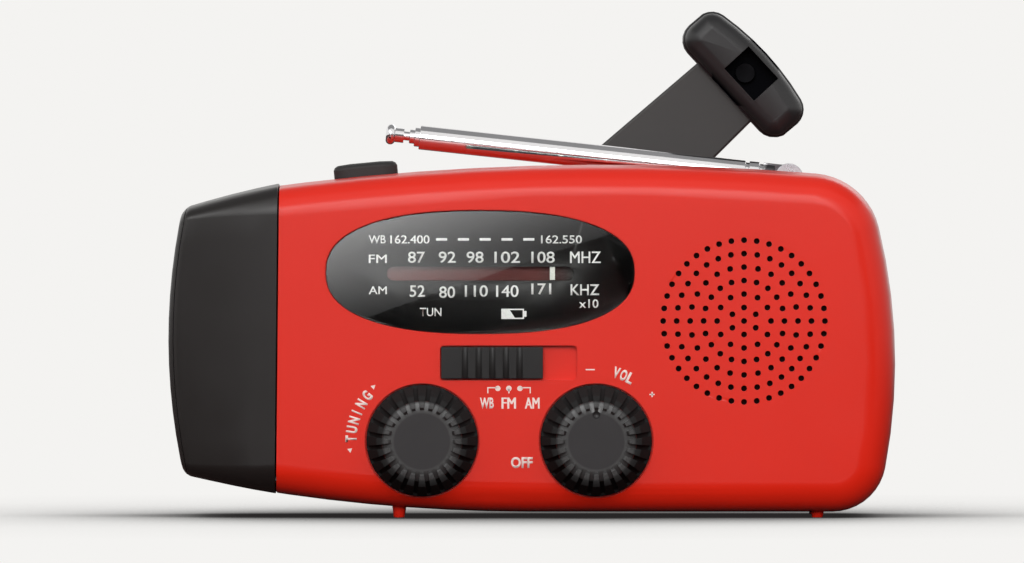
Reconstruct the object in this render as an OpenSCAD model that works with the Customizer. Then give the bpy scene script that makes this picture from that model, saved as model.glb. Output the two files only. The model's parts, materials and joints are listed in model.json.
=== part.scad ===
// Crank-and-solar pocket radio with a torch in its left end.
// X runs along the case, torch end negative. Y runs from the dial side (negative) to the
// back panel. Z is up. The origin is on the table, under the middle of the whole radio.

/* [Case] */
// Overall length, torch end to loudspeaker end
case_l = 128.2; // [120:0.1:156]
// Height of the case, without its feet
case_h = 61.3; // [58:0.1:74]
// Depth of the case, front face to back panel
case_d = 40; // [39:0.5:48]
// Moulded wall of the case
wall = 2; // [1.6:0.1:2.4]
// Height of the foot nubs under the level part of the base
foot_h = 0.8; // [0.5:0.1:2]
// Distance of the joint between the shells behind the front face
split_d = 15; // [15:0.5:15.5]
// Reach of the rounded edge along the front and the back face
edge_in = 5.5; // [3:0.1:6]
// Depth of the rounded edge
edge_d = 5; // [3:0.1:5]
// Draft of the case sides at the rounded edges
draft = 0.4; // [0:0.05:0.8]
// Upper corner radius at the loudspeaker end
high_r = 12.5; // [9:0.5:16]
// Lower corner radius at the loudspeaker end
low_r = 9.5; // [8:0.5:13]

/* [Torch head] */
// Length of the head on the centre line
head_l = 19.5; // [17:0.1:24]
// Thickness of the bezel round the end
bezel_t = 0.9; // [0.6:0.1:1.5]
// Lens height
lens_h = 39; // [30:0.5:41]
// Lens width
lens_w = 21; // [16:0.5:24]
// Distance between the three lamps
lamp_pitch = 13; // [12.8:0.1:13.2]

/* [Dial] */
// Window width
dial_w = 54.3; // [48:0.1:56]
// Window height
dial_h = 21.7; // [20:0.1:23]
// Dial centre below the top of the case
dial_down = 18.9; // [17.5:0.1:20]
// Width of the pointer slot
scale_l = 32.9; // [31:0.1:34]

/* [Knobs] */
// Knob base radius
knob_r = 9.8; // [8:0.1:10]
// Knob height over the front face
knob_out = 6.5; // [5:0.1:8]
// Number of grip ribs round a knob
knob_ribs = 24; // [12:1:30]
// Knob centres above the base
knob_up = 12.8; // [12.5:0.1:15]

/* [Band switch] */
// Slot length
slot_l = 24.1; // [22:0.1:25]
// Slot height
slot_h = 6.1; // [5:0.1:7]
// Slider length
slider_l = 17.9; // [16:0.1:18]

/* [Loudspeaker] */
// Loudspeaker radius
speaker_r = 18; // [16:0.1:18.5]
// Radius of one grille hole
hole_r = 0.52; // [0.4:0.01:0.7]
// Distance between the rings of holes
ring_pitch = 2.37; // [2.2:0.01:2.5]

/* [Antenna] */
// Pivot to the tip
antenna_l = 72; // [66:0.5:74]
// Radius of the outer tube
antenna_r = 2.15; // [2.1:0.05:2.4]
// Lift of the folded antenna over level
antenna_lift = 6.2; // [5:0.1:8]

/* [Crank] */
// Hub centre to grip centre
crank_r = 56.2; // [48:0.1:60]
// Angle of the arm over level in the stored position
crank_up = 42.7; // [30:0.1:60]
// Arm thickness
arm_t = 3; // [2.4:0.1:4]
// Arm width at the grip
arm_w = 13.6; // [12:0.1:15]
// Length of the grip behind the arm
grip_d = 16; // [12:0.5:22]
// Grip length across the arm
grip_l = 26; // [24:0.5:30]

/* [Hidden] */
$fn = 64;

// Clearances
fit = 0.05;
gap = 0.3;
play = 0.1;

// Colours
red = "#d8301f";
charcoal = "#2d2d2e";
steel = "#c9ccd0";
board_green = "#2f6b45";

// Case levels
case_bottom = foot_h;
case_top = foot_h + case_h;
case_mid = foot_h + case_h / 2;
right_x = case_l / 2;
left_x = -case_l / 2;

// Crank levels behind the back panel
cap_gap = 0.9;
cap_t = 6;
cap_floor = 0.5;
pocket = [7.8, 5.9];
crank_out = cap_gap + cap_t + gap + arm_t + gap + grip_d;

// Case depth, with the whole radio centred on the origin
front_y = -(case_d + crank_out - knob_out) / 2;
back_y = front_y + case_d;
case_y = front_y + case_d / 2;
split_y = front_y + split_d;
inner_front_y = front_y + wall;
inner_back_y = back_y - wall;

// Outline of the case: a chain of tangent arcs, from the seam along the base, round the
// loudspeaker end and back along the crown
crest_x = 12.8;
crown_r = 450;
level_x = -0.8;
rise_r = 297;
side_r = 100;
side_z = case_bottom + 0.43 * case_h;
cut_x = left_x + 14;
crown_c = [crest_x, case_top - crown_r];
rise_c = [level_x, case_bottom + rise_r];
side_c = [right_x - side_r, side_z];
low_z = case_bottom + low_r;
low_c = [side_c.x + sqrt((side_r - low_r)^2 - (low_z - side_z)^2), low_z];
high_c = meet(crown_c, crown_r - high_r, side_c, side_r - high_r);
low_a = heading(low_c - side_c);
high_a = heading(high_c - side_c);
crown_a = heading(high_c - crown_c);
crown_end_a = 90 + asin((crest_x - cut_x) / crown_r);
rise_start_a = -90 - asin((level_x - cut_x) / rise_r);

// Seam between the shells and the torch head, leaning a little
seam_top_x = left_x + 19.6;
seam_bottom_x = left_x + 19;
seam_gap = 0.25;

// Torch head
end_r = 107;
head_top_z = [top_z(seam_top_x) + 0.35, 3.1, 1.2];
head_bottom_z = [bottom_z(seam_bottom_x) - 0.1, 2.4, 0.9];
head_squeeze = 0.85;
head_edge = 0.42;
head_round = 1.5;
head_n = 5;
head_k = 9;
bezel_gap = 0.06;
head_wall_step = (bezel_t + wall) / head_l;
lens_t = 1.6;
lens_sunk = 0.3;
flange_x = left_x + bezel_t + wall + (lens_h / 2 + 0.5)^2 / (2 * end_r) + play;
flange_t = 1;
cup_r = lamp_pitch / 2 - 0.3;
cup_depth = 7.5;
lamp_r = 2.5;
lamp_board_x = flange_x + cup_depth + 1.4;
lamp_board_t = 1.6;

// Dial
dial_x = -9.2;
dial_z = case_top - dial_down;
dial_power = 2.4;
window_t = 1;
window_sunk = 0.2;
ledge = 1.2;
plate_t = 0.6;
slot_z = dial_z - 0.2;
scale_h = 2.45;
strip_y = front_y + window_sunk + window_t + plate_t + 0.85;
strip_t = 0.4;
pointer_w = 0.9;
pointer_x = 3.5;

// Knobs and shafts
knob_z = case_bottom + knob_up;
tuning_x = -19.4;
volume_x = 11.2;
recess_gap = 0.3;
recess_d = 1.4;
knob_back_y = front_y + recess_d - gap;
knob_t = knob_out + recess_d - gap;
face_r = 5.6;
face_sunk = 0.5;
groove_w = 0.8;
shaft_r = 3;
knob_bore_d = knob_t - 2.5;
shaft_front_y = knob_back_y - knob_bore_d + play;

// Dial drive
module_d = 0.6;
dial_gear_teeth = 28;
lower_teeth = 12;
upper_teeth = 14;
dial_gear_r = dial_gear_teeth * module_d / 2;
lower_r = lower_teeth * module_d / 2;
upper_r = upper_teeth * module_d / 2;
mesh_gap = 0.1;
chain_a = 24.3;
lower_c = [tuning_x, knob_z] + (dial_gear_r + lower_r + mesh_gap) * [sin(chain_a), cos(chain_a)];
upper_c = lower_c + (lower_r + upper_r + mesh_gap) * [sin(chain_a), cos(chain_a)];
rack_z = upper_c.y + upper_r + mesh_gap;
drive_a = 90 - chain_a;
upper_phase = upper_teeth / 4 - 0.5;
lower_phase = mesh_phase(drive_a, lower_teeth, upper_teeth, upper_phase);
dial_gear_phase = mesh_phase(drive_a, dial_gear_teeth, lower_teeth, lower_phase);
drive_y = strip_y + strip_t + 0.3;
drive_t = 1.8;
rack_left = 3.1;
rack_right = 27.4;
rail_r = 0.8;
pin_r = 0.9;
rail_z = slot_z + 4.3;
rail_y = drive_y + drive_t / 2;
rail_post_x = [dial_x - dial_w / 2 + 1, dial_x + dial_w / 2 - 2];

// Boards
board_t = 1.6;
board_y = front_y + 11.4;
board_back_y = board_y + board_t;
board_x = [seam_top_x + 7, 16.5];
board_z = [case_bottom + 5.2, case_top - 5.6];
standoffs = [[board_x[0] + 3, case_mid - 3.5], [board_x[1] - 2.8, case_mid - 1], [-4, board_z[0] + 2.6]];

// Band switch
slot_x = -4.2;
switch_z = knob_z + 13.7;
slider_h = slot_h - 2 * gap;
slider_out = 0.9;
slider_travel = slot_l - slider_l - 2 * 0.2;
slider_x = slot_x - slot_l / 2 + 0.2;
slot_d = 1.6;
pad_t = 0.9;
stem_w = 1.6;
stem_h = 2;
stem_x = slider_x + slider_l - 7.9;
groove_x = [4.2, 6.6, 9, 11.4, 13.8];
switch_d = 5;
switch_x = [-8, 9.4];

// Loudspeaker
speaker_x = right_x - 26.9;
speaker_z = case_mid + 3.2;
ring_counts = [1, 6, 12, 20, 24, 32, 40];
cloth_t = 0.2;
speaker_y = inner_front_y + cloth_t + 0.1;
speaker_d = 8.6;
magnet_r = 9;
magnet_t = 4;

// Battery
battery_l = 33;
battery_h = 26;
battery_x = 35.5;
battery_z = case_bottom + wall + draft + gap + battery_h / 2;
battery_d = 9;
battery_y = back_y - edge_d - battery_d;

// Top of the case: torch button, solar panel, antenna
button_x = seam_top_x + 15.1;
button_y = split_y + 5;
button_l = 11.3;
button_w = 7;
button_out = 2.2;
button_travel = 0.8;
skirt_z = wall + draft;
stem_drop = 4;
switch_plunger_y = board_back_y + 5;
switch_box_d = 8;
button_lean = asin((crest_x - button_x) / crown_r);
solar_l = 50;
solar_w = 10.5;
solar_y = split_y + 2 + solar_w / 2;
solar_top_z = case_top - 1.3;
cover_t = 0.8;
cell_t = 0.2;
solar_board_t = 0.8;
cell_n = 6;
antenna_y = back_y - 8.2;
antenna_x = right_x - 18.5;
antenna_z = case_top - 2.3;
channel_r = 2.6;
tab_t = 2.2;
ear_t = 1;
ear_r = 2.5;
antenna_pin_r = 0.7;
tube_r = [antenna_r, 1.7, 1.25, 0.8];
bore_r = [tube_r[1] + fit, tube_r[2] + fit, tube_r[3] + fit];
tip_l = [6, 5.1, 4.2, 3.2];
tip_r = 1.83;
tip_t = 1.7;

// Crank, gears and generator
hub_x = -3.3;
hub_z = case_mid + 8.85;
axle_r = 2.5;
bush_r = 4;
boss_out = 0.6;
arm_y = back_y + cap_gap + cap_t + gap;
hub_r = 9;
arm_root_w = 18;
sleeve_r = 3.5;
tip_corner_r = 1.2;
grip_y = arm_y + arm_t + gap;
grip_in = 5;
grip_out = 5.2;
grip_corner_r = 3.5;
grip_bow_r = 50;
crank_teeth = 40;
idler_pinion_teeth = 12;
idler_wheel_teeth = 36;
generator_teeth = 12;
fine_module = 0.5;
crank_gear_r = crank_teeth * module_d / 2;
idler_pinion_r = idler_pinion_teeth * module_d / 2;
idler_wheel_r = idler_wheel_teeth * fine_module / 2;
generator_pinion_r = generator_teeth * fine_module / 2;
idler_c = [hub_x, hub_z] + (crank_gear_r + idler_pinion_r + mesh_gap) * [cos(215), sin(215)];
generator_c = idler_c + (idler_wheel_r + generator_pinion_r + mesh_gap) * [cos(235), sin(235)];
plate_y = inner_back_y - 11;
gear_plate_t = 1.6;
wheel_y = plate_y + gear_plate_t + 0.5;
wheel_t = 2.4;
crank_gear_y = wheel_y + wheel_t + 1;
crank_gear_t = 3;
generator_shaft_r = 1;
generator_r = 11;
generator_d = 11;
post_r = 2.4;
idler_pin_r = 1;
plate_x = [hub_x - 33, hub_x + 15.5];
plate_z = [case_bottom + 14.6, hub_z + 14];
gear_posts = [[plate_x[0] + 3, hub_z - 4.3], [plate_x[0] + 3, plate_z[1] - 3],
    [plate_x[1] - 3, plate_z[0] + 3], [plate_x[1] - 3, plate_z[1] - 3]];

// Ports in the back
port_x = hub_x;
port_w = 26;
port_h = 7.9;
port_z = case_bottom + 4.95 + port_h / 2;
port_cover_t = 1.4;
port_board_t = 1.2;
usb_a = [13.2, 6.2];
micro_usb = [7.5, 2.8];
usb_a_x = port_x - 4.5;
micro_usb_x = port_x + 8;
port_margin = 0.4;
port_board_z = port_z - usb_a.y / 2 - port_board_t - 0.05;
micro_usb_z = port_board_z + port_board_t + 0.05 + micro_usb.y / 2;

// Case screws
screw_r = 1;
screw_head_r = 2;
screw_head_t = 1.4;
screw_sink = 4;
screw_post_r = 2.6;
screw_left_x = seam_top_x + 3.7;
screw_right_x = right_x - 7.4;
screw_low_z = case_bottom + 8.6;
screw_high_z = case_top - 11.2;
screw_places = [[screw_left_x, screw_low_z + 12.4], [screw_left_x, screw_high_z],
    [screw_right_x, screw_low_z], [screw_right_x - 0.6, screw_high_z]];

// Angle of a vector in the front plane
function heading(v) = atan2(v.y, v.x);

// Point at the distances ra and rb from a and b, on the upper right
function meet(a, ra, b, rb) =
    let(d = norm(b - a), along = (d^2 + ra^2 - rb^2) / (2 * d), out = sqrt(ra^2 - along^2),
        u = (b - a) / d)
    a + along * u + out * [u.y, -u.x] * (u.y > 0 ? 1 : -1);

// Steps of an arc, from one angle up to but not including the other
function arc(c, r, from, to, n) =
    [for (i = [0:n - 1]) let(a = from + (to - from) * i / n) c + r * [cos(a), sin(a)]];

// Height of the crown and of the base line at x
function top_z(x) = case_top - crown_r + sqrt(crown_r^2 - (x - crest_x)^2);
function bottom_z(x) = case_bottom + rise_r - sqrt(rise_r^2 - min(0, x - level_x)^2);

// Outline of the case, moved inwards
function case_outline(inset) = concat(
    arc(rise_c, rise_r - inset, rise_start_a, -90, 7), [rise_c + [0, inset - rise_r]],
    arc(low_c, low_r - inset, -90, low_a, 9), arc(side_c, side_r - inset, low_a, high_a, 7),
    arc(high_c, high_r - inset, high_a, crown_a, 10),
    arc(crown_c, crown_r - inset, crown_a, crown_end_a, 10),
    [crown_c + (crown_r - inset) * [cos(crown_end_a), sin(crown_end_a)]]);

// Rounded edge of a case wall moved inwards by w: inset and depth from the face to the side
function edge(n, w) = [for (i = [0:n]) let(a = 90 * i / n)
    [edge_in - (edge_in - draft - w) * sin(a), edge_d - (edge_d - w) * cos(a)]];

// Inset and y from the front face to the split, from the split to the back, and both
function front_profile(n, w) = concat([for (p = edge(n, w)) [p.x, front_y + p.y]], [[w, split_y]]);
function back_profile(n, w) = let(e = edge(n, w)) [for (i = [n:-1:0]) [e[i].x, back_y - e[i].y]];
function case_profile(n, w) = concat(front_profile(n, w), back_profile(n, w));

// Closed loop round the case at one depth
function case_ring(p) = [for (q = case_outline(p.x)) [q.x, p.y, q.y]];

// Torch head: place along the head t, 0 at the seam and 1 at the end, with a wall w
function mix(a, b, t) = a + (b - a) * t;
function seam_x(z) = mix(seam_bottom_x, seam_top_x, (z - case_bottom) / case_h);
function end_x(z) = left_x + (z - case_mid)^2 / (2 * end_r);
function head_x(t, z) = mix(seam_x(z) - seam_gap, end_x(z), t);
function head_top(t) = head_top_z[0] - head_top_z[1] * t - head_top_z[2] * t^2;
function head_bottom(t) = head_bottom_z[0] + head_bottom_z[1] * t + head_bottom_z[2] * t^2;
function head_y(y, t, w) = let(d = y - case_y)
    case_y + sign(d) * ((abs(d) + w) * mix(1, head_squeeze, max(t, 0)^1.5) - w);
function head_ring(t, w) =
    let(e = mix(1, head_edge, t), places = case_profile(head_n, w), last = len(places) - 1,
        low = [for (p = places) [head_y(p.y, t, w), head_bottom(t) + w + (p.x - w) * e]],
        high = [for (i = [last:-1:0]) [head_y(places[i].y, t, w), head_top(t) - w - (places[i].x - w) * e]],
        back = [for (i = [1:head_k]) mix(low[last], high[0], i / (head_k + 1))],
        front = [for (i = [1:head_k]) mix(high[last], low[0], i / (head_k + 1))])
    [for (q = concat(low, back, high, front)) [head_x(t, q.y), q.x, q.y]];

// Ring on the rounded end of the head, from 0 on its side to 90 on its end
function head_end_ring(a) = head_ring(1 - head_round / head_l * (1 - sin(a)), head_round * (1 - cos(a)));

// Superellipse with half axes a and b
function superellipse(a, b, power, n) = [for (i = [0:n - 1]) let(t = 360 * i / n)
    [a * sign(cos(t)) * abs(cos(t))^(2 / power), b * sign(sin(t)) * abs(sin(t))^(2 / power)]];

// Outline of a spur gear with straight-flanked teeth
function gear_outline(teeth, m) = let(r = teeth * m / 2, pitch = 360 / teeth)
    [for (i = [0:teeth - 1]) for (p = [[-0.36, -1.2], [-0.22, 0], [-0.1, 0.95], [0.1, 0.95],
        [0.22, 0], [0.36, -1.2]])
        (r + p.y * m) * [cos((i + p.x) * pitch), sin((i + p.x) * pitch)]];

// Phase of a gear with t1 teeth whose mate, in direction d, has t2 teeth and phase p2
function mesh_phase(d, t1, t2, p2) = (d + 180) * t2 / 360 - 0.5 - p2 + d * t1 / 360;

// Strips across a ring of n points that is alike on both sides of its point m
function strips(n, m) = concat([[m, m + 1, m - 1]],
    [for (j = [1:n / 2 - 2]) each let(a = (m + j) % n, b = (m + j + 1) % n, c = (m - j - 1 + n) % n,
        d = (m - j + n) % n) [[a, b, c], [a, c, d]]],
    [let(j = n / 2 - 1) [(m + j) % n, (m + j + 1) % n, (m - j + n) % n]]);

// Solid through a list of rings with the same number of points each; the caps are one polygon,
// or strips across from the point m
module loft(rings, m = 0) {
    n = len(rings[0]);
    last = (len(rings) - 1) * n;
    caps = m > 0 ? strips(n, m) : [[for (i = [0:n - 1]) i]];
    polyhedron([for (ring = rings) each ring], concat(
        [for (f = caps) [for (i = [len(f) - 1:-1:0]) f[i]]],
        [for (j = [0:n:last - 1], i = [0:n - 1]) each let(k = (i + 1) % n)
            [[j + i, j + k, j + n + k], [j + i, j + n + k, j + n + i]]],
        [for (f = caps) [for (i = f) last + i]]));
}

// Slab of a shape drawn in the front plane, from y0 to y1
module slab(y0, y1) {
    translate([0, y1, 0]) rotate([90, 0, 0]) linear_extrude(y1 - y0) children();
}

// Round bar along Y
module bar(c, y0, y1, r) {
    translate([c.x, y0, c.y]) rotate([-90, 0, 0]) cylinder(h = y1 - y0, r = r);
}

// Children with their Z axis towards the front
module outward(c, y) {
    translate([c.x, y, c.y]) rotate([90, 0, 0]) children();
}

// Children with their Z axis towards the back
module inward(c, y) {
    translate([c.x, y, c.y]) rotate([-90, 0, 0]) children();
}

// Rectangle with round corners in the front plane
module round_rect(c, w, h, r) {
    translate(c) union() {
        square([w - 2 * r, h], center = true);
        square([w, h - 2 * r], center = true);
        for (sx = [-1, 1], sy = [-1, 1]) translate([sx * (w / 2 - r), sy * (h / 2 - r)]) circle(r);
    }
}

// Spur gear on the Y axis, turned by phase tooth pitches
module gear(c, y, t, teeth, m, phase) {
    slab(y, y + t) translate(c) rotate(phase * 360 / teeth) polygon(gear_outline(teeth, m));
}

// Slab of a shape drawn in the side plane, from x0 to x1
module side_slab(x0, x1) {
    translate([x0, 0, 0]) rotate([90, 0, 90]) linear_extrude(x1 - x0) children();
}

// Box from its lowest to its highest corner
module block(low, high) {
    translate(low) cube(high - low);
}

// Space left of the seam, moved towards the loudspeaker end by shift
module left_of_seam(shift) {
    lean = atan2(seam_top_x - seam_bottom_x, case_h);
    translate([seam_bottom_x + shift, 0, case_bottom]) rotate([0, lean, 0])
        translate([-40, -100, -50]) cube([40, 200, 200]);
}

// Children on the top of the case above x, with Z square to the crown
module on_crown(x, y) {
    translate([x, y, top_z(x)]) rotate([0, -asin((crest_x - x) / crown_r), 0]) children();
}

// Children in the antenna's own frame: origin on the pivot, -X along the antenna
module on_antenna() {
    translate([antenna_x, antenna_y, antenna_z]) rotate([0, antenna_lift, 0]) children();
}

// Bar along the antenna, from a to b short of the pivot
module antenna_bar(a, b, r) {
    translate([-b, 0, 0]) rotate([0, 90, 0]) cylinder(h = b - a, r = r);
}

// Children in the arm's own frame at the hub: X across the arm, Y along it, Z to the back
module on_arm(y) {
    translate([hub_x, y, hub_z]) rotate([-90, 90 - crank_up, 0]) mirror([0, 1, 0]) children();
}
module on_grip(y) {
    on_arm(y) translate([0, crank_r, 0]) children();
}

// Window outline, moved inwards
module dial_shape(inset) {
    translate([dial_x, dial_z])
        polygon(superellipse(dial_w / 2 - inset, dial_h / 2 - inset, dial_power, 72));
}

// Lens outline, grown by more
module lens_shape(more) {
    translate([case_y, case_mid])
        polygon(superellipse(lens_w / 2 + more, lens_h / 2 + more, 3, 56));
}

// Loudspeaker grille: holes on rings round one in the middle
module grille_holes() {
    for (ring = [0:len(ring_counts) - 1], i = [0:ring_counts[ring] - 1]) {
        a = 360 * i / ring_counts[ring] + 90;
        bar([speaker_x, speaker_z] + ring * ring_pitch * [cos(a), sin(a)], front_y - 1,
            inner_front_y + 1, hole_r, $fn = 16);
    }
}

// Foot nub under the base
module foot(x, y) {
    translate([x, y, 0]) cylinder(h = bottom_z(x) + wall / 2, r1 = 0.95, r2 = 1.3, $fn = 32);
}

module front_shell() {
    color(red) difference() {
        union() {
            difference() {
                loft([for (p = front_profile(7, 0)) case_ring(p)]);
                difference() {
                    loft([for (p = concat(front_profile(5, wall), [[wall, split_y + 1]])) case_ring(p)]);
                    // Bosses behind the knobs, the switch and the window
                    for (x = [tuning_x, volume_x])
                        bar([x, knob_z], front_y, front_y + recess_d + 1.6, knob_r + recess_gap + 1.2);
                    slab(front_y, front_y + slot_d + pad_t)
                        round_rect([slot_x, switch_z], slot_l + 3, slot_h + 3, 1);
                    // Standoffs of the main board and posts of the case screws
                    for (c = standoffs) bar(c, front_y, board_y, 2, $fn = 32);
                    for (c = screw_places) bar(c, front_y, split_y + 1, screw_post_r, $fn = 32);
                    // Ring round the loudspeaker
                    difference() {
                        bar([speaker_x, speaker_z], front_y, inner_front_y + 1.1, speaker_r + 1.4);
                        bar([speaker_x, speaker_z], inner_front_y, inner_front_y + 4, speaker_r + 0.2);
                    }
                    // Posts of the pointer rail
                    for (x = rail_post_x)
                        block([x, front_y, rail_z - 1.6], [x + 1.6, rail_y + 1.6, rail_z + 1.6]);
                }
            }
            for (x = [-23.5, right_x - 13.9]) foot(x, front_y + 7);
        }
        left_of_seam(0);
        // Window pocket with its ledge, and the opening behind it
        slab(front_y - 1, front_y + window_sunk + window_t) dial_shape(-0.15);
        slab(front_y - 1, inner_front_y + 1) dial_shape(ledge);
        // Knob recesses and shaft holes
        for (x = [tuning_x, volume_x]) {
            bar([x, knob_z], front_y - 1, front_y + recess_d, knob_r + recess_gap);
            bar([x, knob_z], front_y - 1, front_y + 6, shaft_r + gap);
        }
        // Slider slot and the slit for its stem
        slab(front_y - 1, front_y + slot_d) round_rect([slot_x, switch_z], slot_l, slot_h, 0.8);
        block([stem_x - gap, front_y, switch_z - stem_h / 2 - gap],
            [stem_x + stem_w + slider_travel + gap, front_y + 6, switch_z + stem_h / 2 + gap]);
        grille_holes();
        translate([rail_post_x[0] - 1, rail_y, rail_z]) rotate([0, 90, 0])
            cylinder(h = rail_post_x[1] - rail_post_x[0] + 3.6, r = rail_r + 0.02);
        for (c = screw_places) bar(c, split_y - 9, split_y + 3, screw_r + 0.02, $fn = 32);
        for (c = standoffs) bar(c, board_y - 5, board_y + 1, screw_r + 0.02, $fn = 32);
    }
}

module rear_shell() {
    color(red) difference() {
        union() {
            difference() {
                loft([for (p = concat([[0, split_y]], back_profile(7, 0))) case_ring(p)]);
                difference() {
                    loft([for (p = concat([[wall, split_y - 1]], back_profile(5, wall))) case_ring(p)]);
                    rear_bosses();
                }
            }
            bar([hub_x, hub_z], inner_back_y, back_y + boss_out, bush_r + 2.6);
            for (x = [-23.5, right_x - 13.9]) foot(x, back_y - 7);
        }
        left_of_seam(0);
        // Bearing of the crank
        bar([hub_x, hub_z], inner_back_y - 3, back_y + 2, bush_r + 0.02);
        bar([hub_x, hub_z], back_y - 0.5, back_y + 2, bush_r + 1.02);
        // Torch button
        on_crown(button_x, button_y) translate([0, 0, -wall - 1]) linear_extrude(wall + 3)
            round_rect([0, 0], button_l + 2 * gap, button_w + 2 * gap, 2.4);
        // Solar panel pocket
        block([crest_x - solar_l / 2 - play, solar_y - solar_w / 2 - play,
            solar_top_z - cover_t - cell_t - solar_board_t - 0.1],
            [crest_x + solar_l / 2 + play, solar_y + solar_w / 2 + play, case_top + 1]);
        // Channel of the folded antenna, and the deeper well of its bracket
        on_antenna() {
            translate([-58, -channel_r, -channel_r]) cube([58 + 3.4, 2 * channel_r, 12]);
            translate([-4.2, -channel_r, -4]) cube([7.6, 2 * channel_r, 12]);
        }
        // Ports and their cover
        slab(back_y - port_cover_t - 0.2, back_y + 1)
            round_rect([port_x, port_z], port_w + 2 * gap, port_h + 2 * gap, 2);
        // Square lower corners, which the rolled edge of the cover turns in
        slab(back_y - port_cover_t - 0.2, back_y + 1) translate([port_x, port_z - port_h / 2 + 0.8])
            square([port_w + 2 * gap, 1.6 + 2 * (gap + 0.15)], center = true);
        slab(inner_back_y - 3, back_y) round_rect([usb_a_x, port_z], usb_a.x + 2 * port_margin,
            usb_a.y + 2 * port_margin, 0.5);
        slab(inner_back_y - 3, back_y) round_rect([micro_usb_x, micro_usb_z], micro_usb.x + 2 * port_margin,
            micro_usb.y + 2 * port_margin, 0.3);
        for (c = screw_places) {
            bar(c, split_y - 3, back_y, screw_r + 0.02, $fn = 32);
            bar(c, back_y - screw_sink, back_y + 1, screw_head_r + gap, $fn = 32);
        }
        for (c = gear_posts) bar(c, plate_y, inner_back_y, screw_r + 0.02, $fn = 32);
        bar(idler_c, inner_back_y - 3, inner_back_y + 0.6, idler_pin_r + 0.02, $fn = 32);
    }
}

// What stands inside the rear shell
module rear_bosses() {
    bar([hub_x, hub_z], inner_back_y - 2.2, back_y, bush_r + 2.6);
    bar(idler_c, inner_back_y - 1.2, back_y, 2.2, $fn = 32);
    for (c = gear_posts) bar(c, plate_y + gear_plate_t + play, back_y, post_r, $fn = 32);
    for (c = screw_places) bar(c, split_y, back_y, screw_post_r + 1, $fn = 32);
    // Tray under the solar panel
    block([crest_x - solar_l / 2 - 1.5, solar_y - solar_w / 2 - 1.5, solar_top_z - 3.6],
        [crest_x + solar_l / 2 + 1.5, solar_y + solar_w / 2 + 1.5, case_top + 1]);
    // Trough round the antenna
    on_antenna() translate([-60, -channel_r - 1.4, -5.4]) cube([60 + 4.8, 2 * channel_r + 2.8, 16]);
    // Pad round the ports, and the ledge of their board
    slab(inner_back_y - 1.6, back_y) round_rect([port_x, port_z], port_w + 3, port_h + 3, 2);
    block([port_x - port_w / 2, inner_back_y - 5, case_bottom], [port_x + port_w / 2, back_y, port_board_z - play]);
}

module torch_head() {
    color(charcoal) difference() {
        loft(concat([for (t = [0, 0.25, 0.5, 0.75, 1 - head_round / head_l - 0.02]) head_ring(t, 0)],
            [head_end_ring(0), head_end_ring(asin(1 - bezel_t / head_round))]), head_n + 1);
        loft([for (t = [-0.05, 0.3, 0.6, 1 - head_wall_step]) head_ring(t, wall)], head_n + 1);
        side_slab(left_x - 1, seam_bottom_x) lens_shape(0.15);
    }
}

module torch_bezel() {
    color(charcoal) difference() {
        loft([for (a = [asin(1 - (bezel_t - bezel_gap) / head_round), 40, 55, 72, 90]) head_end_ring(a)],
            head_n + 1);
        side_slab(left_x - 1, seam_bottom_x) lens_shape(0.15);
    }
}

module torch_lens() {
    color("#e8eef2") intersection() {
        side_slab(left_x - 1, seam_bottom_x) lens_shape(0);
        difference() {
            bar([left_x + end_r, case_mid], front_y, back_y, end_r - lens_sunk, $fn = 360);
            bar([left_x + end_r, case_mid], front_y - 1, back_y + 1, end_r - lens_sunk - lens_t, $fn = 360);
        }
    }
}

// Children at each lamp, with their Z axis out of the lens
module at_lamps(x) {
    for (i = [-1:1]) translate([x, case_y, case_mid + i * lamp_pitch]) rotate([0, -90, 0]) children();
}

module torch_reflector() {
    color("#d9dcdf") difference() {
        union() {
            side_slab(flange_x, flange_x + flange_t) lens_shape(1);
            at_lamps(flange_x + cup_depth) cylinder(h = cup_depth, r = cup_r);
        }
        // Dished cups, widening towards the lens as a parabola
        at_lamps(flange_x + cup_depth) rotate_extrude() polygon(concat([[0, -1], [lamp_r + 0.3, -1]],
            [for (h = [0:6]) [lamp_r + 0.3 + (cup_r - 0.6 - lamp_r) * sqrt(h / 6), h / 6 * cup_depth]],
            [[cup_r - 0.3, cup_depth + 1], [0, cup_depth + 1]]));
    }
}

module torch_leds() {
    color("#f4f4e8") at_lamps(lamp_board_x) {
        cylinder(h = 1, r = lamp_r + 0.4);
        cylinder(h = 5, r = lamp_r);
        translate([0, 0, 5]) sphere(lamp_r);
    }
}

module torch_board() {
    t = (seam_bottom_x - lamp_board_x) / head_l;
    inside = (head_top(t) - head_bottom(t)) / 2 - wall - 0.7;
    color(board_green) side_slab(lamp_board_x, lamp_board_x + lamp_board_t)
        translate([case_y, (head_top(t) + head_bottom(t)) / 2]) union() {
            square([lens_w, 2 * inside], center = true);
            square([case_d - 2 * wall - 4, 12], center = true);
        }
}

module torch_button() {
    half = [button_l / 2, button_w / 2];
    color(charcoal) on_crown(button_x, button_y) {
        // Domed cap: rounded edge in steps
        loft([for (p = [[3, button_out + 0.15], [0.8, button_out], [0.25, button_out - 0.3],
            [0, button_out - 0.8], [0, -skirt_z]]) [for (q = superellipse(half.x - p.x, half.y - p.x, 4, 40)) [q.x, q.y, p.y]]]);
        translate([0, 0, -skirt_z - 1]) linear_extrude(1.001) round_rect([0, 0], button_l + 1.6, button_w + 1.2, 2.4);
        translate([0, switch_plunger_y - button_y, -skirt_z - 1 - stem_drop]) cylinder(h = stem_drop + 1, r = 1.5);
    }
}

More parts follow.
